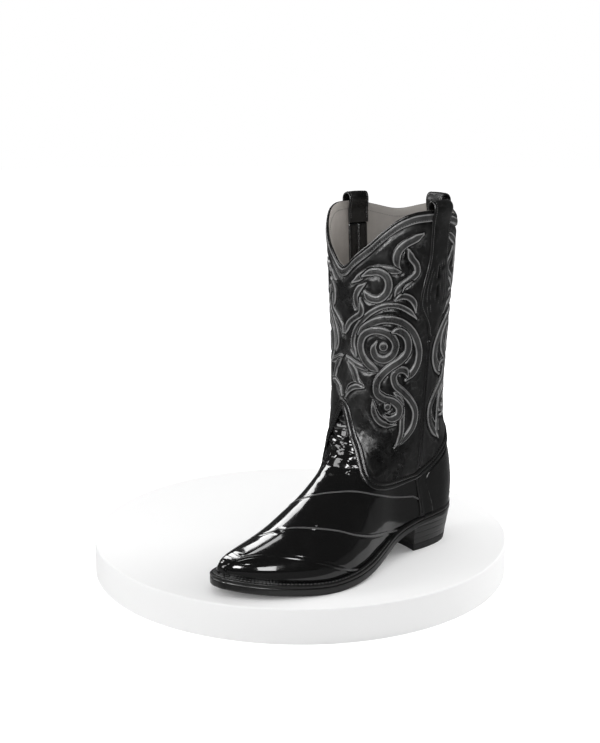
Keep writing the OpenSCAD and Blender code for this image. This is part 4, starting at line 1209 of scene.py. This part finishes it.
def rim_piece(name, u0, u1, n, look, notched):
    """Strip round the foot: rounded outer edge, and on the welt a stitch furrow and wheel marks."""
    u = np.linspace(u0, u1, n)[:, None]
    r = reach(u)
    a = np.linspace(-np.pi / 2, np.pi / 2, 9)[::-1]
    flat = np.linspace(0, 1, 15)[None]
    o_top = -UNDER_FOOT + (r - WELT_ROUND + UNDER_FOOT) * flat
    p = outline(u, 0 * u)[:, 0]
    run = run_of(p)[:, None]
    z_top = np.full(o_top.shape, -DROP_WELT)
    if notched:
        on = ease((o_top - 0.3) / 0.8)
        z_top = z_top - 0.35 * np.exp(-((o_top - r * 0.55) / 0.7) ** 2) * on
        z_top = z_top - 0.16 * (0.5 + 0.5 * np.cos(run * 2 * np.pi / 3.0)) * on
    o_round = r - WELT_ROUND + WELT_ROUND * np.cos(a)[None]
    z_round = -DROP_WELT - WELT / 2 + (WELT / 2) * np.sign(np.sin(a)) * np.abs(np.sin(a))[None] ** 0.5
    o_bot = (r - WELT_ROUND) - (r - WELT_ROUND + UNDER_FOOT) * np.linspace(0, 1, 4)[None]
    o = np.concatenate([o_top, o_round[:, 1:], o_bot[:, 1:]], 1)
    z_round = np.broadcast_to(z_round, (n, 9))
    z = np.concatenate([z_top, z_round[:, 1:], np.full((n, 3), -DROP_WELT - WELT)], 1)
    g = outline(np.broadcast_to(u, o.shape), o)
    g[..., 2] = outline(u, r)[..., 2] + z
    m = g.shape[1]
    i, j = np.arange(n - 1)[:, None], np.arange(m)[None]
    j2 = (j + 1) % m
    faces = quads(i * m + j, i * m + j2, (i + 1) * m + j2, (i + 1) * m + j)
    faces += [list(range(m))[::-1], [(n - 1) * m + k for k in range(m)]]
    piece(name, (g.reshape(-1, 3), faces), look)


rim_piece("welt", -0.262, 0.262, 760, "sole_leather", True)
rim_piece("heel_seat_rand", 0.264, 0.736, 420, "sole_leather", False)
us = np.linspace(-0.205, 0.205, 700)
q = outline(us, reach(us) * 0.55)
q[:, 2] = outline(us, reach(us))[:, 2] - DROP_WELT - 0.25
straight_up = np.tile([0.0, 0.0, 1.0], (len(us), 1))
sewing("welt_stitching", stitches([(q, straight_up)], 3.6, 2.7, 0.9, 0.75), node="welt_stitching")


def ladder(k, n):
    """Faces across a ring of n points from k and its mirror, closing it; the ring starts at index k."""
    h = n // 2
    f = [[k, k + 1, k + n - 1], [k + h - 1, k + h, k + h + 1]]
    f += [[k + i, k + i + 1, k + n - i - 1, k + n - i] for i in range(1, h - 1)]
    return f


def outsole():
    """Sole under the welt: its edge is a rounded wall, its thickness eases from heel to ball."""
    n = 700
    u = np.arange(n) / n
    p = outline(u, reach(u))
    thick = np.interp(-skin(u, 0)[:, 1], [-5, 70, 95, 140, 330], [5, 5.3, 6.6, 7.6, 7.6])
    a = np.linspace(0, 1, 13)
    inset = 0.75 * (1 - np.sqrt(np.clip(1 - (2 * a - 1) ** 6, 0, 1))) + 0.25 * a
    rows = []
    for s, d in zip(a, inset):
        g = outline(u, reach(u) - d)
        g[:, 2] = p[:, 2] - DROP_SOLE - s * thick
        rows.append(g)
    ring = np.stack(rows)
    m = len(a)
    top_f = ladder(0, n)
    faces = ring_faces(m, n) + top_f + [[x + (m - 1) * n for x in f][::-1] for f in top_f]
    ob = piece("outsole", (ring.reshape(-1, 3), faces), "sole_leather")
    ob.data.materials.append(FINISH["sole_bottom"])
    idx = np.zeros(len(ob.data.polygons), np.int32)
    idx[-len(top_f):] = 1
    ob.data.polygons.foreach_set("material_index", idx)


outsole()


def slab(name, u0, u1, inset, z0, z1, look, crown=0.0):
    """Piece across the foot under the leg, between the outline inset on both sides, with a soft crown."""
    n, m = 120, 25
    u = np.linspace(u0, u1, n)
    a, b = outline(u, np.full(n, inset)), outline(1 - u, np.full(n, inset))
    f = np.linspace(0, 1, m)[None, :, None]
    g = a[:, None] * (1 - f) + b[:, None] * f
    t = from_ends(n)[:, None] / 14
    lift = crown * np.clip(4 * f[..., 0] * (1 - f[..., 0]), 0, 1) ** 0.5 * np.clip(t, 0, 1) ** 0.5
    over, under = g.copy(), g.copy()
    over[..., 2] += z1 - crown * 0.6 + lift
    under[..., 2] += z0
    piece(name, shell(over, under), look)


slab("insole", 0.02, 0.48, -FOOT_WALL - 0.8, 0.0, 3.0, "insole_leather")
slab("heel_sock", 0.27, 0.475, -FOOT_WALL - 1.1, 3.05, 4.65, "lining_leather", 0.5)

# ---------------------------------------------------------------- heel
HEEL_BACK, UNDERCUT, DEPTH = 3.8, 8.0, 74.0
SEAT_Z = 43 - DROP_SOLE - HEEL_SOLE
BREAST_Z = float(edge_z(DEPTH)) - DROP_SOLE - HEEL_SOLE - 0.5
CAP = 7.0
LIFT = (BREAST_Z - CAP - 2.5) / 3


def heel_ring(h, grow=0.0):
    """Plan of the heel at a share of its height: a squared half round at the back, a hollow breast."""
    h = np.asarray(h, float)[..., None]
    t = np.radians(np.linspace(-90, 90, 111))
    lb, lf = HEEL_BACK + UNDERCUT * (1 - h) + 1 - grow, DEPTH - 2 * (1 - h) + grow
    w = 33 - 3.5 * (1 - h) + grow
    x = w * np.sign(np.sin(t)) * np.abs(np.sin(t)) ** 0.82 + 1
    l = lf - (lf - lb) * np.abs(np.cos(t)) ** 0.8
    f = np.linspace(1, 0, 33)[1:-1]
    xb = w * (2 * f - 1) + 1
    breast = lf - 3.5 * 4 * f * (1 - f)
    return np.stack([np.concatenate([x, xb], -1) + SHIFT[0], SHIFT[1] - np.concatenate([l, breast], -1)], -1)


def heel_piece(name, z0, z1, look, slope=False, grow=0.0):
    """One layer of the heel with eased edges; its top follows the sole when slope is set."""
    s = np.array([0, 0, 0.05, 0.12, 0.3, 0.5, 0.7, 0.88, 0.95, 1, 1])
    e = np.array([0.35, 0.2, 0.06, 0, 0, 0, 0, 0, 0.06, 0.2, 0.35]) * 0.8
    rows = []
    for a, d in zip(s, e):
        ring = heel_ring((z0 + a * (z1 - z0)) / SEAT_Z, grow - d)
        hi = np.full(len(ring), z1)
        if slope:
            hi = edge_z(np.maximum(0, -(ring[:, 1] - SHIFT[1]))) - DROP_SOLE - HEEL_SOLE - 0.35
        rows.append(np.column_stack([ring, z0 + a * (hi - z0)]))
    g = np.stack(rows)
    m, n = g.shape[:2]
    mid = np.array([[SHIFT[0] + 1, SHIFT[1] - 40, g[0, :, 2].mean()], [SHIFT[0] + 1, SHIFT[1] - 40, 0]])
    mid[1, 2] = edge_z(40.0) - DROP_SOLE - 5.35 if slope else g[-1, :, 2].mean()
    c = m * n
    faces = ring_faces(m, n) + [[c, k, (k + 1) % n] for k in range(n)]
    faces += [[c + 1, (m - 1) * n + (k + 1) % n, (m - 1) * n + k] for k in range(n)]
    piece(name, (np.vstack([g.reshape(-1, 3), mid]), faces), look, sharp=35)


heel_piece("heel_cap", 0.0, CAP, "rubber", grow=0.25)
for k in range(3):
    low, high = CAP + 0.05 + k * LIFT, CAP + (k + 1) * LIFT
    heel_piece("heel_lift_%d" % (k + 1), low, high, "heel_leather", grow=0.03 * (k % 2))
heel_piece("heel_wedge", CAP + 3 * LIFT + 0.05, SEAT_Z, "heel_leather", slope=True)

# ---------------------------------------------------------------- stage, camera and lights
PODIUM = (-0.0928, 0.02865)
CAMERA_AT = (0.9322, -0.76825, 0.4669)
CAMERA_BACK = (0.7696, -0.5980, 0.2236)  # from the boot back to the camera
CAMERA_LENS = 62.99


def disc(name, centre, radius, z, thick, ease_r, mat):
    """Turned disc: a profile of its rounded edge carried round a circle."""
    n = 256
    a = np.linspace(0, 2 * np.pi, n, endpoint=False)
    b = np.linspace(0, np.pi / 2, 6)
    r = np.concatenate([radius - ease_r + ease_r * np.sin(b), [radius]])
    h = np.concatenate([z - ease_r + ease_r * np.cos(b), [z - thick]])
    m = len(r)
    g = np.stack([centre[0] + r[:, None] * np.cos(a), centre[1] + r[:, None] * np.sin(a),
                  np.broadcast_to(h[:, None], (m, n))], -1)
    faces = ring_faces(m, n) + [list(range(n)), [(m - 1) * n + k for k in range(n)][::-1]]
    me = bpy.data.meshes.new(name)
    me.from_pydata(g.reshape(-1, 3).tolist(), [], faces)
    me.polygons.foreach_set("use_smooth", [True] * len(me.polygons))
    me.set_sharp_from_angle(angle=math.radians(40))
    me.materials.append(mat)
    ob = bpy.data.objects.new(name, me)
    bpy.context.collection.objects.link(ob)
    return ob


def stage_white(lit, mirrored, glow):
    """Stage paint: bright to the eye, dim in the boot's reflections."""
    def build(n):
        path = n.add("ShaderNodeLightPath").outputs
        return {"Base Color": n.mix(path["Is Glossy Ray"], grey(lit), grey(mirrored)),
                "Emission Color": n.mix(path["Is Camera Ray"], grey(0.0), grey(glow))}
    return build


white = finish("studio_white", stage_white(0.92, 0.6, 0.1), Roughness=0.6, Emission_Strength=1.0)
paper = finish("paper", stage_white(0.92, 0.1, 0.7), Roughness=0.9, Emission_Strength=1.0)
disc("podium", PODIUM, 0.214, 0.0, 0.034, 0.0015, white)
disc("floor", (0.0, 0.0), 6.0, -0.0342, 0.01, 0.001, paper)

cam = bpy.data.objects.new("camera", bpy.data.cameras.new("camera"))
bpy.context.collection.objects.link(cam)
cam.location = CAMERA_AT
cam.rotation_euler = Vector(CAMERA_BACK).to_track_quat("Z", "Y").to_euler()
cam.data.lens = CAMERA_LENS
cam.data.sensor_width = 36
cam.data.clip_start, cam.data.clip_end = 0.05, 50
bpy.context.scene.camera = cam


def softbox(name, turn, rise, far, size, radiance, toward=(0.0, -0.02, 0.12), mirrored=True, lit=True):
    """Rectangular light far metres from a point of the boot, at turn degrees round from +X and rise
    degrees up, of the given radiance."""
    a, e = math.radians(turn), math.radians(rise)
    way = Vector((math.cos(a) * math.cos(e), math.sin(a) * math.cos(e), math.sin(e)))
    d = bpy.data.lights.new(name, "AREA")
    d.shape, d.size, d.size_y = "RECTANGLE", size[0], size[1]
    d.energy = radiance * math.pi * size[0] * size[1]
    ob = bpy.data.objects.new(name, d)
    ob.location = Vector(toward) + far * way
    ob.rotation_euler = way.to_track_quat("Z", "Y").to_euler()
    ob.visible_glossy, ob.visible_diffuse, ob.visible_camera = mirrored, lit, False
    bpy.context.collection.objects.link(ob)


softbox("toe_spot", -72, 27, 1.5, (0.34, 0.7), 16, lit=False)
softbox("toe_strip", -37, 25, 1.5, (0.34, 0.7), 9, lit=False)
softbox("ridge_strip", 177, 30, 1.5, (0.6, 0.45), 6, lit=False)
softbox("toe_patch", 171, 54, 1.5, (0.3, 0.22), 4, lit=False)
softbox("front_fill", -38, 25, 1.8, (1.2, 1.0), 1.0, mirrored=False)
softbox("high_front", -68, 58, 1.5, (0.12, 0.12), 14)
softbox("right_box", 82, 28, 1.7, (0.8, 1.1), 6.5, mirrored=False)
softbox("left_box", -125, 25, 1.7, (0.6, 1.1), 4)
softbox("overhead", 0, 88, 2.2, (1.6, 1.6), 1.0, mirrored=False)

bpy.context.scene.view_settings.view_transform = "Standard"
bpy.context.scene.view_settings.look = "None"
world = bpy.data.worlds.new("studio")
bpy.context.scene.world = world
world.use_nodes = True
n = Net(world.node_tree)
world.node_tree.nodes.clear()
path = n.add("ShaderNodeLightPath").outputs
level = n.math("ADD", n.math("MULTIPLY", path["Is Camera Ray"], 0.55), 0.45)
level = n.math("SUBTRACT", level, n.math("MULTIPLY", path["Is Glossy Ray"], 0.4))
n.t.links.new(n.add("ShaderNodeBackground", {"Color": (1, 1, 1, 1), "Strength": level}).outputs[0],
              n.add("ShaderNodeOutputWorld").inputs[0])
